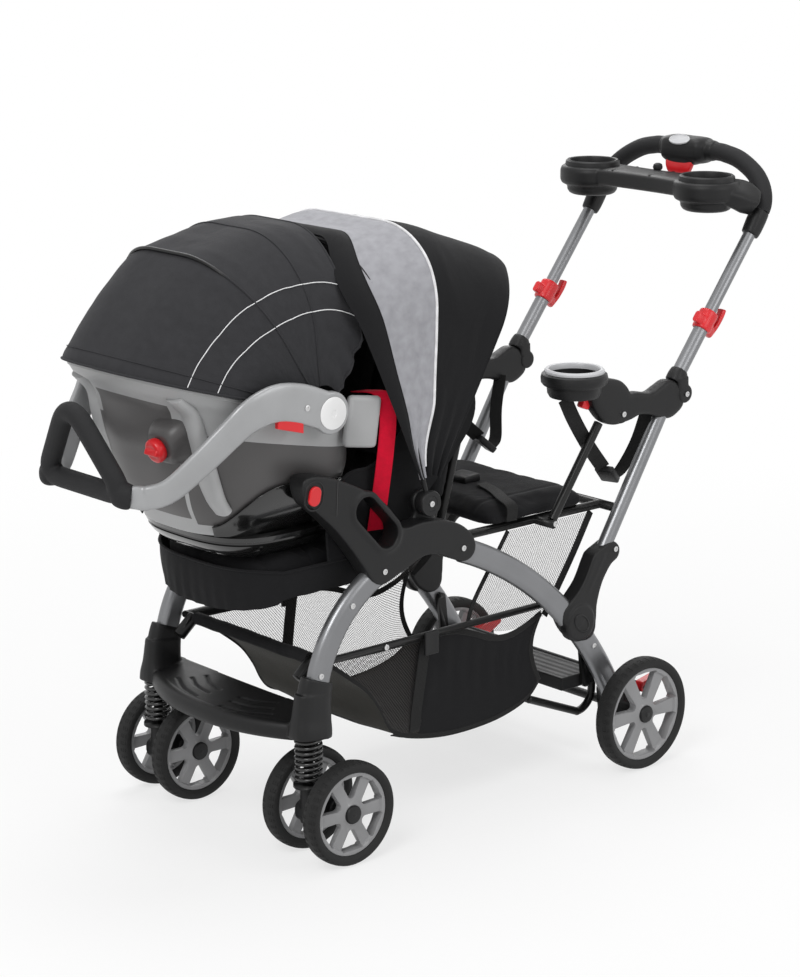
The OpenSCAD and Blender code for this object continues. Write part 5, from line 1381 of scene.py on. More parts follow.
def make_basket():
    """The hanging basket: net walls, cloth floor, tapes, hangers, clips and the sleeve of its front bar."""
    walls = {side: basket_wall(way) for side, way in SIDES}
    first = None
    for side, rows in walls.items():
        obj = grid_object("wall", rows, flat_uv(rows))
        for face in obj.data.polygons:
            face.material_index = 1 if side == "left" and face.center.y > BASKET_NET_END else 0
        close_up(obj)
        dress(obj, f"basket_net_{side}", "chassis", "net_fabric", "net_cloth", "black_cloth", smooth=60)
        first = first or obj
    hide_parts("basket")

    def sagged(p, _, t):
        down = 9 * math.sin(math.pi * t) * min(1, max(0, (p.y + 0.33) / 0.12))
        p.z -= (down + 1.2 * wave(p, 22, 4)) * MM
        return p

    edges = {side: ([r[0] for r in rows], [r[-1] for r in rows]) for side, rows in walls.items()}
    rows = spanned(edges["left"][1], edges["right"][1], 25, sagged)
    obj = grid_object("basket_floor", rows, flat_uv(rows))
    for face in obj.data.polygons:
        face.material_index = 1 if face.center.z > 0.156 and face.center.y < -0.1 else 0
    thicken(close_up(obj))
    dress(obj, "basket_floor", "chassis", "black_fabric", "black_cloth", "front_panel_cloth", smooth=60)

    for side, way in SIDES:
        high, low = edges[side]
        for name, line, wide in (("low", low, 9), ("top", high, 11), ("rear", walls[side][-1], 10)):
            tape = webbing("tape", line, (0, 0, 1) if name != "rear" else (0, 1, 0.2), wide * MM, 2.2 * MM)
            dress(tape, f"basket_tape_{name}_{side}", "chassis", *WEBBED)
        hang = curved([mm(way * 174, -108, 316), mm(way * 173, -118, 250), mm(way * 170, -126, 190),
                       mm(way * 163, -128, 146), mm(way * 120, -128, 134)])
        dress(webbing("hang", hang, (0, 1, 0), 24 * MM, 2 * MM), f"basket_hanger_{side}", "chassis", *WEBBED)
        clip = block("clip", mm(6, 30, 40), mm(way * 186.6, -108, 306), edge=2 * MM, inset=5 * MM,
                     depth=1 * MM, face=(way, 0, 0))
        dress(clip, f"basket_clip_{side}", "chassis", *MOULDED)
    bar = [mm(150 - 300 * k / 30, -337, 318) for k in range(31)]
    sleeve = tube("sleeve", bar, 10.5 * MM, sides=6)
    for v in sleeve.data.vertices:
        v.co.z += 1.6 * MM * wave(v.co, 30, 8)
    dress(sleeve, "basket_bar_sleeve", "chassis", "black_fabric", "cushion_cloth", smooth=60)
    make_seat_nets()


NET_FRONT = [(100, 452), (48, 394), (8, 348), (-14, 312)]
NET_REAR = [(298, 452), (240, 374), (198, 324), (167, 294)]


def make_seat_nets():
    """Nets that hang under the jump seat to the basket's rear corners."""
    front, rear = (curved([mm(0, *p) for p in line], 5) for line in (NET_FRONT, NET_REAR))
    for side, way in SIDES:
        def hung(p, j, u):
            t = j / (len(front) - 1)
            p.z -= 18 * MM * smooth_step((t - 0.5) / 0.5) * math.sin(math.pi * u)
            sag = 5 * math.sin(math.pi * u) * math.sin(math.pi * t)
            crease = 1.6 * math.sin((p.y - p.z) * 120) * math.sin(math.pi * t)
            p.x = way * (149 + 22 * t - sag + crease) * MM
            return p

        rows = spanned(front, rear, 25, hung)
        obj = close_up(grid_object("seat_net", rows, flat_uv(rows)))
        dress(obj, f"seat_net_{side}", "chassis", "net_fabric", "net_cloth", smooth=60)
        for name, line, wide in (("front", [r[0] for r in rows], 9), ("rear", [r[-1] for r in rows], 15)):
            tape = webbing("tape", line, (0, 1, -0.8), wide * MM, 2 * MM)
            dress(tape, f"seat_net_tape_{name}_{side}", "chassis", *WEBBED)


# Straps

STRAPS = [
    # name, places on the near side in millimetres, way across, and share of the strap's width
    ("belt_front", [(196, 184, 676), (186, 216, 634), (172, 266, 578), (158, 318, 528)], (0.5, 0.6, 0.5), 1),
    ("belt_rear", [(154, 342, 505), (160, 362, 520), (178, 380, 570), (186, 398, 628)], (1, 0.3, 0), 1),
    ("lap_strap", [(166, 92, 474), (168, 90, 500), (140, 96, 508), (92, 120, 509), (46, 134, 510)],
     (0, 1, 0), 1),
    ("harness", [(46, -29, 770), (48, -46, 700), (50, -76, 600), (46, -108, 520)], (1, 0, 0), 1.1),
]


def make_straps():
    """The belts, straps and buckles of both seats."""
    wide = settings().sizes.strap
    for side, way in SIDES:
        for name, places, across, share in STRAPS:
            line = curved([mm(way * x, y, z) for x, y, z in places])
            dress(webbing(name, line, across, wide * share), f"{name}_{side}", "chassis", *WEBBED)
        buckle = block("buckle", mm(34, 40, 13), mm(way * 156, 331, 515), (-42, 0, way * 18), 3 * MM, 6 * MM,
                       2 * MM)
        dress(buckle, f"belt_buckle_{side}", "chassis", *MOULDED)
    catch = block("catch", mm(46, 38, 15), mm(0, 136, 512), (4, 0, 0), 4 * MM, 9 * MM, 2 * MM)
    dress(catch, "lap_buckle", "chassis", *MOULDED)
    sleeve = tube("sleeve", curved([mm(-150, 44, 486), mm(-150, 78, 486)]), 8 * MM, sides=5)
    dress(sleeve, "seat_red_sleeve", "chassis", *RED)


# Infant carrier

SHELL_Y, SHELL_LEAN, SHELL_Z, SHELL_H, SHELL_X, SHELL_HALF = -418, 46, 535.9, 206, 186, 205
SHELL_EDGE, SHELL_SLOPE, SHELL_WALL = 0.7, -0.28, 5
SHELL_POINTS, LINER_POINTS = 112, 96
SHELL_WIDTHS = [(0, 0.66), (0.22, 0.84), (0.55, 0.95), (1, 1)]
SHELL_LENGTHS = [(0, 0.60), (0.22, 0.78), (0.55, 0.92), (1, 1)]
SHELL_FRONT = [(0, 1.0), (0.2, 0.95), (0.5, 0.84), (0.84, 0.80), (0.92, 0.84), (0.97, 1.0), (1, 1.0)]
ROCKER = [
    # shares of the height of the base and of the shell's half width and length, from the bottom up
    (0.0, 0.50, 0.20), (0.02, 0.60, 0.25), (0.14, 0.68, 0.30), (0.42, 0.76, 0.35), (0.62, 0.79, 0.37),
    (0.66, 0.775, 0.363), (0.72, 0.775, 0.363), (0.76, 0.80, 0.378), (0.94, 0.82, 0.389), (1.0, 0.80, 0.378),
    (1.0, 0.4, 0.19)]
ROCKER_Z, ROCKER_HIGH, ROCKER_WIDE, ROCKER_FRONT = 489.7, 45.8, 0.96, 0.74


def soft_lookup(u, table):
    """The table with its corners rounded."""
    near = [lookup(min(max(u + d, 0), 1), table) for d in (-0.08, -0.04, 0, 0.04, 0.08)]
    return sum(near) / 5


def shell_ring(u, shrink, lift, count=SHELL_POINTS):
    """One level of the shell, whose head end is set back under its rim."""
    half_x = SHELL_X * soft_lookup(u, SHELL_WIDTHS) - shrink
    half_y = SHELL_HALF * soft_lookup(u, SHELL_LENGTHS) - shrink
    ring = []
    for k in range(count):
        a = math.tau * k / count
        x, y = half_x * power(math.cos(a), SHELL_EDGE), half_y * power(math.sin(a), SHELL_EDGE)
        if y < 0:
            y *= lookup(u, SHELL_FRONT)
        z = SHELL_Z + u * SHELL_H + lift + SHELL_SLOPE * u * y
        ring.append(mm(x, SHELL_Y + SHELL_LEAN * (1 - u) + y, z))
    return ring


def head_wall(u, x):
    """A place on the head end of the shell."""
    half_x = SHELL_X * soft_lookup(u, SHELL_WIDTHS)
    half_y = SHELL_HALF * soft_lookup(u, SHELL_LENGTHS) * lookup(u, SHELL_FRONT)
    y = -half_y * max(1 - (abs(x) / half_x) ** (2 / SHELL_EDGE), 0) ** (SHELL_EDGE / 2)
    return x, SHELL_Y + SHELL_LEAN * (1 - u) + y, SHELL_Z + u * SHELL_H + SHELL_SLOPE * u * y


def make_carrier():
    """The shell of the carrier with darker grey painted as shade under its arms and in its head-end hollow,
    its rocker base and all that it carries.
    """
    levels = [k / 26 for k in range(27)]
    rows = [shell_ring(0, SHELL_X * 0.5, 0)] + [shell_ring(u, 0, 0) for u in levels]
    rows += [shell_ring(1, shrink, lift) for shrink, lift in ((-2.5, 1.5), (-2.5, 6), (1, 8), (SHELL_WALL, 6))]
    rows += [shell_ring(u, SHELL_WALL, SHELL_WALL if u == 0 else 0) for u in reversed(levels)]
    rows += [shell_ring(0, SHELL_X * 0.5, SHELL_WALL)]
    obj = grid_object("shell", rows, closed=True)
    cap_ends(obj)
    # faces given the darker grey are painted shade: the band under the arm and the hollow of the head end
    for face in obj.data.polygons:
        level, turn = divmod(face.index, SHELL_POINTS)
        side_painted_shade = 3 <= level <= 19 and (turn < 77 or turn > 91)
        head_painted_shade = 4 <= level <= 23 and 77 <= turn <= 90
        face.material_index = 1 if side_painted_shade or head_painted_shade else 0
    dress(obj, "carrier_shell_moulding", "carrier", "grey_plastic", "grey_shell", "dark_shell", smooth=45)
    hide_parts("carrier_shell")

    turns = [math.tau * k / SHELL_POINTS for k in range(SHELL_POINTS)]
    rows = []
    for rise, wide, long in ROCKER:
        row = []
        for a in turns:
            x = SHELL_X * wide * ROCKER_WIDE * power(math.cos(a), SHELL_EDGE)
            y = 2 * SHELL_HALF * long * power(math.sin(a), SHELL_EDGE)
            y *= ROCKER_FRONT if math.sin(a) < 0 else 1
            row.append(mm(x, SHELL_Y + SHELL_LEAN + y, ROCKER_Z + rise * ROCKER_HIGH))
        rows.append(row)
    base = cap_ends(grid_object("base", rows, closed=True))
    dress(base, "carrier_rocker", "carrier", "gloss_black", "gloss_black", smooth=40)
    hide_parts("carrier_base")
    make_tub()
    make_carrier_trim()
    make_liner()
    make_carrier_handle()
    make_carrier_grip()
    make_release_knob()


def make_tub():
    """The gloss black sides of the base, which rise round the foot end of the shell."""
    rings = [shell_ring(k / 40, -4.5, 0) for k in range(41)]
    for side, turns in (("left", range(-16, 25)), ("right", range(32, 73))):
        rows = []
        for k in turns:
            share = (k + 16) / 40 if side == "left" else (72 - k) / 40
            high = 3 + 14 * smooth_step(share / 0.45) * (1 - smooth_step((share - 0.72) / 0.28))
            column = [ring[k % SHELL_POINTS] for ring in rings]
            steps = [high * j / 12 for j in range(13)]
            rows.append([column[int(s)].lerp(column[min(int(s) + 1, 40)], s % 1) for s in steps])
        wall = close_up(grid_object("wall", rows))
        modify(wall, "SOLIDIFY", thickness=3.2 * MM, offset=0)
        modify(wall, "BEVEL", width=1.2 * MM, segments=2, limit_method="ANGLE")
        dress(wall, f"carrier_tub_{side}", "carrier", "gloss_black", "gloss_black", smooth=45)


CARRIER_ARM = [
    # share of the reach, rise and draw-in from the pivot, and of the height
    (-0.04, -0.05, 0, 0.98), (0.06, 0.08, 0, 1), (0.20, 0.24, 0, 1), (0.343, 0.297, 0, 0.96),
    (0.478, 0.168, 0.043, 0.88), (0.575, -0.119, 0.187, 0.80), (0.698, -0.515, 0.378, 0.74),
    (0.821, -0.921, 0.646, 0.68), (0.903, -1.04, 0.885, 0.62), (0.94, -1.03, 0.96, 0.60),
    (0.975, -1.02, 1.02, 0.56)]
ARM_X, ARM_REACH, ARM_RISE, ARM_HALF = 207.4, 318, 101, 31
GRIP_FOOT, GRIP_PEAK, GRIP_BENDS, GRIP_RADIUS = (103, -658, 631), (0, -685, 771), (40, 40, 56), 16.5
GRIP_SLEEVE = [(84, -660, 632, 16), (92, -657, 631, 19), (100, -652, 630, 20), (105, -647, 629, 18.6)]
KNOB_SEAT, KNOB_TILT = (82, -581, 688), math.radians(72)
KNOB_PROFILE = [(CORE, -7.6), (16, -7.6), (19, -4), (20, 3), (18.5, 8), (14, 10), (CORE, 9)]
KNOB_BOSS = [(-537, 702, 40, 42), (-554, 697, 38, 37), (-568, 692, 32, 30), (-574.5, 690, 26, 24)]


def make_carrier_handle():
    """The two silver arms of the carrier handle, which turn on the pivots of the hood."""
    y, z = HOOD_PIVOT
    stations = [(ARM_X - inward * ARM_RISE, y - reach * ARM_REACH, z + rise * ARM_RISE, 7.6, ARM_HALF * high)
                for reach, rise, inward, high in CARRIER_ARM]

    def arm():
        disc = lathe("disc", disc_profile(34, -7, 7), mm(ARM_X, *HOOD_PIVOT), (1, 0, 0), 56)
        return fuse([band("arm", stations, edge=0.55, steps=8), disc], 1.8, 8)

    arms = pair(arm, "carrier_arm", None, "carrier_handle", "silver_paint", "arm_silver")
    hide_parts("carrier_handle")


def make_carrier_grip():
    """The three-cornered foam grip of the carrier, with a sleeve at each end of its foot."""
    foot, peak = Vector(GRIP_FOOT), Vector(GRIP_PEAK)
    corners = [foot, Vector((-foot.x, foot.y, foot.z)), peak]
    loop = []
    for k, corner in enumerate(corners):
        before, after = corners[k - 1], corners[(k + 1) % 3]
        soft = GRIP_BENDS[k]
        a, b = corner + (before - corner).normalized() * soft, corner + (after - corner).normalized() * soft
        stop = after + (corner - after).normalized() * GRIP_BENDS[(k + 1) % 3]
        loop += [(a.lerp(corner, s / 10)).lerp(corner.lerp(b, s / 10), s / 10) * MM for s in range(11)]
        loop += [b.lerp(stop, s / 8) * MM for s in range(1, 8)]
    ring = tube("ring", loop, GRIP_RADIUS * MM, closed=True, sides=6)
    sleeves = [band("sleeve", [(way * x, y, z, r, r) for x, y, z, r in GRIP_SLEEVE], side=(0, 0, 1), edge=0.8)
               for way in (1, -1)]
    grip = fuse([ring, *sleeves], 2.0, 7)
    dress(grip, "carrier_grip_foam", "carrier_handle", "foam", "foam_sleeve", smooth=60)
    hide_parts("carrier_grip")


def make_release_knob():
    """The red release knob at the head end of the carrier, on a boss in the darker grey of painted shade."""
    tilt = Vector((0, -math.sin(KNOB_TILT), -math.cos(KNOB_TILT)))
    seat = mm(*KNOB_SEAT)
    boss = band("boss", [(seat.x / MM, *station) for station in KNOB_BOSS], edge=0.6)
    # the boss is coloured with the painted shade of the head-end hollow
    dress(fuse([boss], 2.0, 5), "release_knob_boss", "carrier", "black_plastic", "dark_shell")
    knob = lathe("knob", KNOB_PROFILE, seat, tilt, 44)
    bar = block("bar", mm(30, 9, 9), seat + tilt * 10.5 * MM, (-18, 0, 0), 2.5 * MM, 2 * MM, 0.6 * MM,
                (0, -1, 0))
    knob = dress(fuse([knob, bar], 1.0, 4), "carrier_release_dial", "carrier_knob", *RED)
    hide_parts("carrier_release_knob")


PIVOT_CAP = [(CORE, 0), (25, 0), (26, 0.8), (25.4, 2.2), (22, 3.2), (6, 3.5), (4.8, 2.6), (CORE, 2.6)]
CARRIER_BELT = [(150, -232, 742), (178, -208, 738), (187, -203, 704), (184, -206, 640), (177, -211, 570),
                (171, -216, 514)]
PIVOT_CAP_X, PILLAR_X, PILLAR_MID = 214.6, 124, 0.55


def make_carrier_trim():
    """Pivot caps, belt guides, belts, the pillars of the head end and the level window."""
    for side, way in SIDES:
        disc = lathe("disc", PIVOT_CAP, mm(way * PIVOT_CAP_X, *HOOD_PIVOT), (way, 0, 0), 56)
        dress(disc, f"pivot_cap_{side}", "carrier", "grey_plastic", "white_plastic", smooth=35)
        guide = block("guide", mm(16, 62, 84), mm(way * 180, -252, 700), (-8, 0, way * -8), 9 * MM, 12 * MM,
                      3 * MM, (way, 0, 0))
        dress(guide, f"belt_guide_{side}", "carrier", "grey_plastic", "grey_shell")
        belt = curved([mm(way * x, y, z) for x, y, z in CARRIER_BELT])
        dress(webbing("belt", belt, (0.25 * way, 1, 0), 30 * MM, 2 * MM), f"carrier_belt_{side}", "carrier",
              "red_plastic", "red_webbing")
    for side, way in SIDES:
        stations = []
        for u in (0.2, 0.28, 0.38, 0.5, 0.7, 0.86, 0.95):
            x, y, z = head_wall(u, way * PILLAR_X)
            taper = (u - PILLAR_MID) ** 2
            stations.append((x, y + 4, z, 23 - 34 * taper, 13 - 26 * taper))
        pillar = band("pillar", stations, edge=0.8)
        dress(pillar, f"shell_pillar_{side}", "carrier", "grey_plastic", "grey_shell", smooth=60)
    window = block("window", mm(84, 3, 30), mm(96, -560, 760), (62, 18, 38), 1.2 * MM, 5 * MM, 1 * MM,
                   (0, -1, 0))
    dress(window, "level_window", "carrier", "grey_plastic", "cup_grey")


LINER_INSIDE = [(0.90, 20, 5), (0.80, 24, 5), (0.5, 26, 5), (0.2, 30, 10), (0.06, 40, 14), (0.05, 80, 15)]


def make_liner():
    """The padded lining of the carrier, up the wall of the shell and down again inside."""
    outside = [(0.02, 9, 9)] + [(k / 12 * 0.9, 8 + 10 * math.sin(math.pi * k / 12), 6) for k in range(1, 13)]
    rows = []
    for u, shrink, lift in outside:
        ring = shell_ring(max(u, 0.02), shrink, lift if u < 0.1 else 0, LINER_POINTS)
        for k, p in enumerate(ring):
            p.z += 1.2 * MM * math.cos(k * math.tau / 8)
        rows.append(ring)
    rows += [shell_ring(*level, LINER_POINTS) for level in LINER_INSIDE]
    liner = grid_object("liner", rows, flat_uv(rows), closed=True)
    cap_ends(liner)
    modify(liner, "SUBSURF", levels=1, render_levels=1)
    dress(liner, "carrier_liner", "carrier", "charcoal_fabric", "liner_cloth", smooth=70)
    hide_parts("carrier_pad")


# Handle, armrests and their trim

KNEE, FOLD_PIN, TUBE_X = (444, 661), (463.7, 647.3), 198
SLIM, WIDE = 11.1, 12.9  # radii of the handle tubes
EARS = (186, 210)
UPPER_LEAN, LOWER_LEAN = math.radians(37.7), math.radians(31.9)
TUBE_TOP = (659.3, 939.5)


def up_tube(along, side=TUBE_X, off=0.0):
    """A place on the upper tube, along it from the knee and off behind it."""
    return mm(side, KNEE[0] + along * math.sin(UPPER_LEAN) + off * math.cos(UPPER_LEAN),
              KNEE[1] + along * math.cos(UPPER_LEAN) - off * math.sin(UPPER_LEAN))


def on_tube(stations, side=TUBE_X):
    """Stations on the upper tube, from rows of (along, off, half width, half height)."""
    return [(*(up_tube(along, side, off) / MM), w, h) for along, off, w, h in stations]


def make_tubes():
    """The handle tubes, their knuckles at the knee and the red latch collars."""
    top = math.hypot(TUBE_TOP[0] - KNEE[0], TUBE_TOP[1] - KNEE[1])
    pair(lambda: tube("upper", [up_tube(a) for a in (40, 140, 240, top)], SLIM * MM, sides=8),
         "upper_tube_slim", "upper_tube", "handle", *PAINTED)
    pair(lambda: tube("upper", [up_tube(a) for a in (30, 90, 150, 152)], WIDE * MM, sides=8),
         "upper_tube_wide", None, "handle", *PAINTED)
    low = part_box("lower_tube_left")[0].z / MM
    heights = [KNEE[1] - 6, (KNEE[1] + low) / 2, low]
    lower = [mm(TUBE_X, KNEE[0] + (z - KNEE[1]) * math.tan(LOWER_LEAN), z) for z in heights]
    pair(lambda: tube("lower", lower, WIDE * MM, sides=8),
         "lower_tube_wide", "lower_tube", "chassis", *PAINTED)

    def knuckle():
        ears = [lathe("ear", disc_profile(16.5, -5, 5), mm(x, *FOLD_PIN), (1, 0, 0)) for x in EARS]
        neck = [band("neck", [(x, KNEE[0] + 15, KNEE[1] - 3, 5, 13), (x, KNEE[0] + 14, KNEE[1] + 16, 5, 13)])
                for x in EARS]
        sizes = ((8, 15.6), (18, 16), (27, 15.2), (33, 13.8))
        socket = band("socket", on_tube([(a, 0.0, r, r) for a, r in sizes]), edge=0.8)
        return fuse(ears + neck + [socket], 1.4, 5)

    pair(knuckle, "knee_knuckle", None, "handle", *MOULDED)

    def collar():
        sizes = ((115, 14.6), (118, 16.4), (134, 16.4), (148, 16.4), (152, 14.6))
        sleeve = band("sleeve", on_tube([(a, 0.0, r, r) for a, r in sizes]), edge=0.85)
        ear = band("ear", on_tube([(128, -28, 5.5, 10), (128, -20, 8, 10), (128, -8, 11, 10)], 200), edge=0.6)
        hinge = band("hinge", on_tube([(124, 8, 12, 10), (124, 19, 9.5, 10), (124, 27, 7, 10)]), edge=0.6)
        bend = [(120, 23, 8, 5), (138, 27, 8, 4.8), (158, 28, 8, 4.6), (172, 26, 8, 4.2)]
        lever = band("lever", on_tube(bend), edge=0.6)
        return fuse([sleeve, ear, hinge, lever], 1.0, 3)

    pair(collar, "latch_collar_clamp", "latch_collar", "collar_{}", *RED)


ARM_STATIONS = [
    # y, top and bottom of the armrest as it runs from the cup to the knee
    (226, 712, 684), (248, 710, 664), (268, 704, 638), (288, 697, 619), (308, 684, 613), (328, 668, 618),
    (352, 665, 624), (380, 660, 621), (404, 668, 612), (428, 676, 607), (448, 672, 616), (458, 664, 630)]
ARM_CUP = [(43, 720), (51, 720), (55.5, 717), (57, 711), (56.5, 703), (53, 698.5), (47, 697), (45.5, 684),
           (42, 678), (36, 676.5), (CORE, 676.5), (CORE, 680), (36, 680), (40.5, 684), (42, 700)]
ARM_CUP_RING = [(42.5, 717), (42.5, 723.5), (44, 726), (48.4, 726.4), (51, 723.6), (51.4, 720), (50, 717)]
ARM_CUP_Y, ARM_BOSS = 204, (309, 633.7)


def make_armrests():
    """The armrests, each with a cup holder, its pale ring and a red recline latch."""
    def arm():
        run = band("run", [(TUBE_X, y, (a + b) / 2, 15, (a - b) / 2) for y, a, b in ARM_STATIONS], edge=0.42)
        boss = lathe("boss", disc_profile(17, -14, 14), mm(TUBE_X, *ARM_BOSS), (1, 0, 0))
        return fuse([run, boss], 1.8, 7)

    pair(arm, "armrest_run", "armrest", "chassis", *MOULDED)
    place = mm(TUBE_X, ARM_CUP_Y, 0)
    pair(lambda: lathe("cup", ARM_CUP, place, (0, 0, 1), 72), "armrest_cup", None, "chassis", *MOULDED, 35)
    pair(lambda: lathe("ring", ARM_CUP_RING, place, (0, 0, 1), 72),
         "cup_ring", None, "chassis", "grey_plastic", "cup_grey", 35)
    pair(lambda: block("latch", mm(16, 18, 26), mm(192, 236, 664), (-24, 0, 0), 4 * MM, 3 * MM, 1 * MM,
                       (1, 0, 0)), "recline_latch", None, "chassis", *RED)


CUP_X, CUP_Y, CUP_R, TRAY_TOP, TRAY_DEEP = 141, 583.3, 41, 1003.5, 34
TRAY_SLAB = [(-150, 48), (-110, 47), (-70, 43), (-30, 41), (30, 41), (70, 43), (110, 47), (150, 48)]
TRAY_LOBE = [(CORE, 967), (50, 967), (56, 970), (59, 976), (59, 994), (56.5, 1000), (52, 1002.5),
             (CORE, 1002.5)]
TRAY_WELL = [(CORE, 949), (36, 949), (42, 952), (46, 958), (46, 975), (CORE, 975)]
TRAY_BORE = [(CORE, 950), (34, 950), (38.5, 953), (40, 958), (CUP_R, 1030), (CORE, 1030)]
TRAY_LIP = [(41.2, 996), (41.2, 1009), (42.5, 1012), (46, 1012.6), (49, 1010), (50.5, 1002), (50.5, 996)]
TRAY_ARM = [(146, 594, 984, 50, 16), (168, 608, 982, 44, 18), (186, 626, 975, 34, 20), (199, 646, 962, 20, 20)]
TRAY_CLAMP = [(635, 907, 14.5, 15), (643, 918, 15.5, 16.5), (654, 935, 16, 17), (662, 947, 15.6, 16)]
TRAY_KNOB = [(CORE, 0), (5, 0), (5, 8), (8, 10), (9, 14), (7.5, 19), (4, 21), (CORE, 21)]


def make_console():
    """The console between the handle tubes, with two cup wells and a small knob."""
    mid = TRAY_TOP - TRAY_DEEP / 2
    parts = [band("slab", [(x, CUP_Y + 9, mid, w, 16) for x, w in TRAY_SLAB], side=(0, 1, 0), edge=0.4)]
    for way in (1, -1):
        place = mm(way * CUP_X, CUP_Y, 0)
        for name, profile in (("lobe", TRAY_LOBE), ("well", TRAY_WELL)):
            parts.append(lathe(name, profile, place, (0, 0, 1), 64))
        parts.append(band("arm", [(way * x, *rest) for x, *rest in TRAY_ARM], side=(0, 1, 0), edge=0.55))
        parts.append(band("clamp", [(way * TUBE_X, *rest) for rest in TRAY_CLAMP], edge=0.8))
    tray = fuse(parts, 2.0, 6)
    for way in (1, -1):
        carve(tray, lathe("bore", TRAY_BORE, mm(way * CUP_X, CUP_Y, 0), (0, 0, 1), 64))
    dress(tray, "console_tray", "handle", *MOULDED, smooth=45)
    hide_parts("console")
    pair(lambda: lathe("lip", TRAY_LIP, mm(CUP_X, CUP_Y, 0), (0, 0, 1), 72),
         "console_lip", None, "handle", *MOULDED, 35)
    for name, x in (("far", -66), ("near", 24)):
        seam = tube("seam", [mm(x, y, TRAY_TOP - 1.6) for y in (556, 570, 600, 625)], 0.9 * MM)
        dress(seam, f"console_seam_{name}", "handle", "black_plastic", "gloss_black")
    dress(lathe("knob", TRAY_KNOB, mm(-14, 622, 993), (0, 0, 1), 28), "console_knob", "handle", *MOULDED)


GRIP = [
    # place across, and share of the rise from the tubes to the hub
    (60, 1.0), (90, 0.975), (121, 0.90), (155, 0.725), (176, 0.55), (190, 0.37), (197, 0.20), (198, 0.07)]


def make_grip():
    """The foam grip, which sweeps from the hub down to both tubes."""
    half = [mm(x, TUBE_TOP[0] + 32.2 * math.sin(math.pi / 2 * t), TUBE_TOP[1] + 97.2 * t) for x, t in GRIP]
    path = curved([Vector((-p.x, p.y, p.z)) for p in reversed(half)] + half, 6)
    grip = tube("grip", path, 16.2 * MM, sides=8)
    dress(grip, "grip_bar_foam", "handle", "foam", "foam_sleeve", smooth=60)
    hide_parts("grip_bar")


HUB_Y, HUB_Z = 685.5, 1036.7
HUB_BODY = [(-50, 0.66), (-42, 0.92), (-30, 1), (0, 1), (30, 1), (42, 0.92), (50, 0.66)]
HUB_SKIRT = [(1040, 46), (1024, 42), (1014, 36), (1010, 30)]
HUB_NECK = [(40, 20), (54, 19), (62, 17), (64, 15.4)]
HUB_PLATE = [(CORE, 0), (24, 0), (24, 1.6), (22.6, 2.6), (20.6, 2.6), (20, 1.9), (CORE, 2.2)]
HUB_PLATE_SEAT, HUB_PLATE_LEAN = (0, 662.8, 1054.2), math.radians(39.6)
TRIGGER = [(1019, 33, 0), (1010, 32, 2), (1002, 29, 3), (995.5, 25, 2)]


def make_hub_top():
    """The hub in the middle of the grip, with the red fold trigger and a bare oval plate."""
    body = band("body", [(x, HUB_Y, HUB_Z - 1, 29 * s, 24 * s) for x, s in HUB_BODY], side=(0, 1, 0),
                edge=0.62)
    lower = band("skirt", [(0, HUB_Y - 12, z, w, 15) for z, w in HUB_SKIRT], edge=0.5)
    necks = [band("neck", [(way * x, HUB_Y + 6, HUB_Z, r, r) for x, r in HUB_NECK], side=(0, 1, 0), edge=0.9)
             for way in (1, -1)]
    hub = dress(fuse([body, lower, *necks], 1.6, 6), "handle_hub_moulding", "handle", *MOULDED, smooth=60)
    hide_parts("handle_hub")
    trigger = band("trigger", [(0, 666 - d, z, w, 6) for z, w, d in TRIGGER], edge=0.4)
    trigger = dress(fuse([trigger], 1.0, 4), "fold_trigger_paddle", "trigger", *RED)
    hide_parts("fold_trigger")
    plain = lathe("plate", HUB_PLATE, Vector(), (0, 0, 1), 56)
    for v in plain.data.vertices:
        v.co.y *= 0.5
    plain.data.transform(Matrix.Translation(mm(*HUB_PLATE_SEAT)) @ Matrix.Rotation(HUB_PLATE_LEAN, 4, "X"))
    dress(plain, "handle_hub_plate", "handle", "grey_plastic", "cup_grey", smooth=35)


def make_handle():
    """The handle with its tubes, armrests, console, grip and hub."""
    make_tubes()
    make_armrests()
    make_console()
    make_grip()
    make_hub_top()


# Operators, panel and registration

class STROLLER_OT_finishes(bpy.types.Operator):
    """Build the paints, plastics and cloths"""
    bl_idname = "stroller.finishes"
    bl_label = "Finishes"
    bl_options = {"REGISTER", "UNDO"}

    def execute(self, context):
        make_finishes()
        return {"FINISHED"}


class STROLLER_OT_stage(bpy.types.Operator):
    """Add the floor, the lights and the camera"""
    bl_idname = "stroller.stage"
    bl_label = "Stage"
    bl_options = {"REGISTER", "UNDO"}

    def execute(self, context):
        make_stage()
        return {"FINISHED"}


class STROLLER_OT_frame_tubes(bpy.types.Operator):
    """Finish the tubes of the frame"""
    bl_idname = "stroller.frame_tubes"
    bl_label = "Frame Tubes"
    bl_options = {"REGISTER", "UNDO"}

    def execute(self, context):
        finish_frame()
        return {"FINISHED"}


class STROLLER_OT_mouldings(bpy.types.Operator):
    """Round over the moulded parts"""
    bl_idname = "stroller.mouldings"
    bl_label = "Mouldings"
    bl_options = {"REGISTER", "UNDO"}

    def execute(self, context):
        make_mouldings()
        return {"FINISHED"}


class STROLLER_OT_wheels(bpy.types.Operator):
    """Model the tyres, rims and caps"""
    bl_idname = "stroller.wheels"
    bl_label = "Wheels"
    bl_options = {"REGISTER", "UNDO"}

    def execute(self, context):
        make_wheels()
        return {"FINISHED"}


class STROLLER_OT_springs(bpy.types.Operator):
    """Fit the suspension springs"""
    bl_idname = "stroller.springs"
    bl_label = "Springs"
    bl_options = {"REGISTER", "UNDO"}

    def execute(self, context):
        make_springs()
        return {"FINISHED"}


class STROLLER_OT_screws(bpy.types.Operator):
    """Fit the screw heads"""
    bl_idname = "stroller.screws"
    bl_label = "Screws"
    bl_options = {"REGISTER", "UNDO"}

    def execute(self, context):
        make_screws()
        return {"FINISHED"}


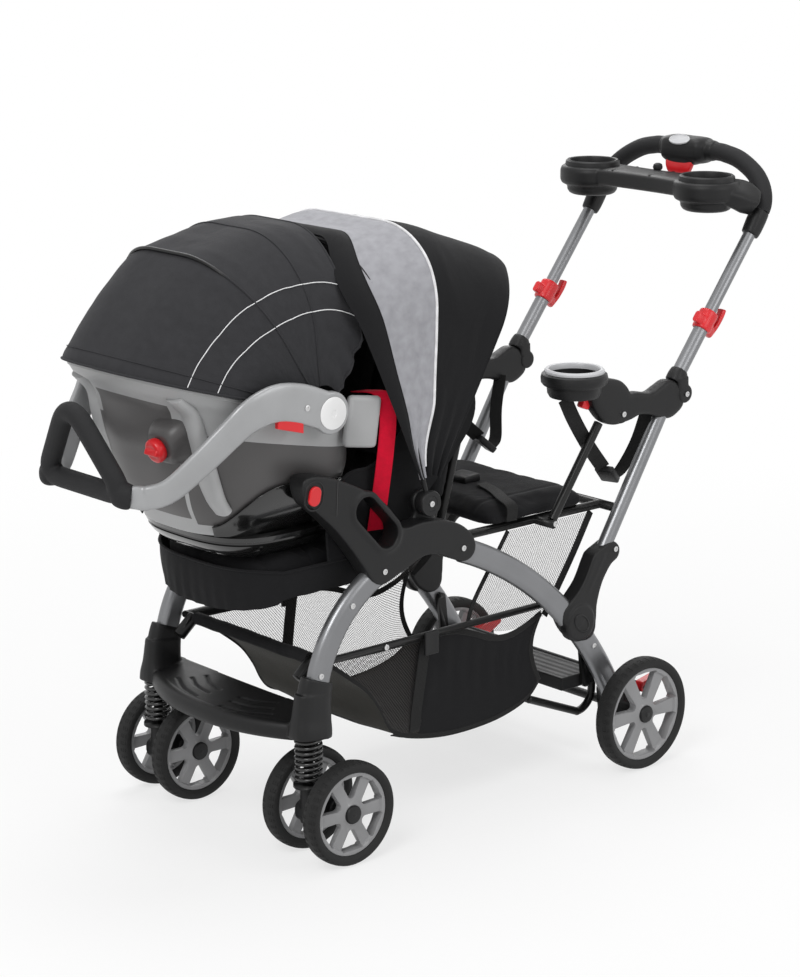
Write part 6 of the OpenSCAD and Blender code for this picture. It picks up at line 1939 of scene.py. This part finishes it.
class STROLLER_OT_cushions(bpy.types.Operator):
    """Blow up and sew the seat cushions"""
    bl_idname = "stroller.cushions"
    bl_label = "Cushions"
    bl_options = {"REGISTER", "UNDO"}

    def execute(self, context):
        make_cushions()
        return {"FINISHED"}


class STROLLER_OT_canopy(bpy.types.Operator):
    """Stretch the canopy over its bows"""
    bl_idname = "stroller.canopy"
    bl_label = "Canopy"
    bl_options = {"REGISTER", "UNDO"}

    def execute(self, context):
        make_canopy()
        return {"FINISHED"}


class STROLLER_OT_basket(bpy.types.Operator):
    """Hang the basket, its nets and tapes"""
    bl_idname = "stroller.basket"
    bl_label = "Basket"
    bl_options = {"REGISTER", "UNDO"}

    def execute(self, context):
        make_basket()
        return {"FINISHED"}


class STROLLER_OT_straps(bpy.types.Operator):
    """Lay the belts and buckles"""
    bl_idname = "stroller.straps"
    bl_label = "Straps"
    bl_options = {"REGISTER", "UNDO"}

    def execute(self, context):
        make_straps()
        return {"FINISHED"}


class STROLLER_OT_carrier(bpy.types.Operator):
    """Model the carrier shell, base and lining"""
    bl_idname = "stroller.carrier"
    bl_label = "Carrier"
    bl_options = {"REGISTER", "UNDO"}

    def execute(self, context):
        make_carrier()
        return {"FINISHED"}


class STROLLER_OT_hood(bpy.types.Operator):
    """Stretch the hood over its bow"""
    bl_idname = "stroller.hood"
    bl_label = "Carrier Hood"
    bl_options = {"REGISTER", "UNDO"}

    def execute(self, context):
        make_hood()
        return {"FINISHED"}


class STROLLER_OT_handle(bpy.types.Operator):
    """Model the handle, armrests, console and collars"""
    bl_idname = "stroller.handle"
    bl_label = "Handle"
    bl_options = {"REGISTER", "UNDO"}

    def execute(self, context):
        make_handle()
        return {"FINISHED"}


STEPS = (
    STROLLER_OT_finishes, STROLLER_OT_stage, STROLLER_OT_frame_tubes, STROLLER_OT_mouldings,
    STROLLER_OT_wheels, STROLLER_OT_springs, STROLLER_OT_screws, STROLLER_OT_cushions,
    STROLLER_OT_canopy, STROLLER_OT_basket, STROLLER_OT_straps, STROLLER_OT_carrier,
    STROLLER_OT_hood, STROLLER_OT_handle,
)


class STROLLER_PT_panel(bpy.types.Panel):
    """Settings and steps of the stroller"""
    bl_idname = "STROLLER_PT_panel"
    bl_label = "Tandem Stroller"
    bl_space_type = "VIEW_3D"
    bl_region_type = "UI"
    bl_category = "Stroller"

    def draw(self, context):
        layout = self.layout
        layout.use_property_split = True
        given = context.scene.stroller
        for label, group in (("Sizes", given.sizes), ("Colours", given.colours)):
            box = layout.box()
            box.label(text=label)
            for name in group.__annotations__:
                box.prop(group, name)
        column = layout.column(align=True)
        for step in STEPS:
            column.operator(step.bl_idname)


CLASSES = (StrollerColours, StrollerSizes, StrollerSettings, *STEPS, STROLLER_PT_panel)


def register():
    for item in CLASSES:
        bpy.utils.register_class(item)
    bpy.types.Scene.stroller = PointerProperty(type=StrollerSettings)


def unregister():
    del bpy.types.Scene.stroller
    for item in reversed(CLASSES):
        bpy.utils.unregister_class(item)


def main():
    register()
    for step in STEPS:
        family, name = step.bl_idname.split(".")
        if getattr(getattr(bpy.ops, family), name)() != {"FINISHED"}:
            raise RuntimeError(f"{step.bl_label} did not finish")


if __name__ == "__main__":
    main()
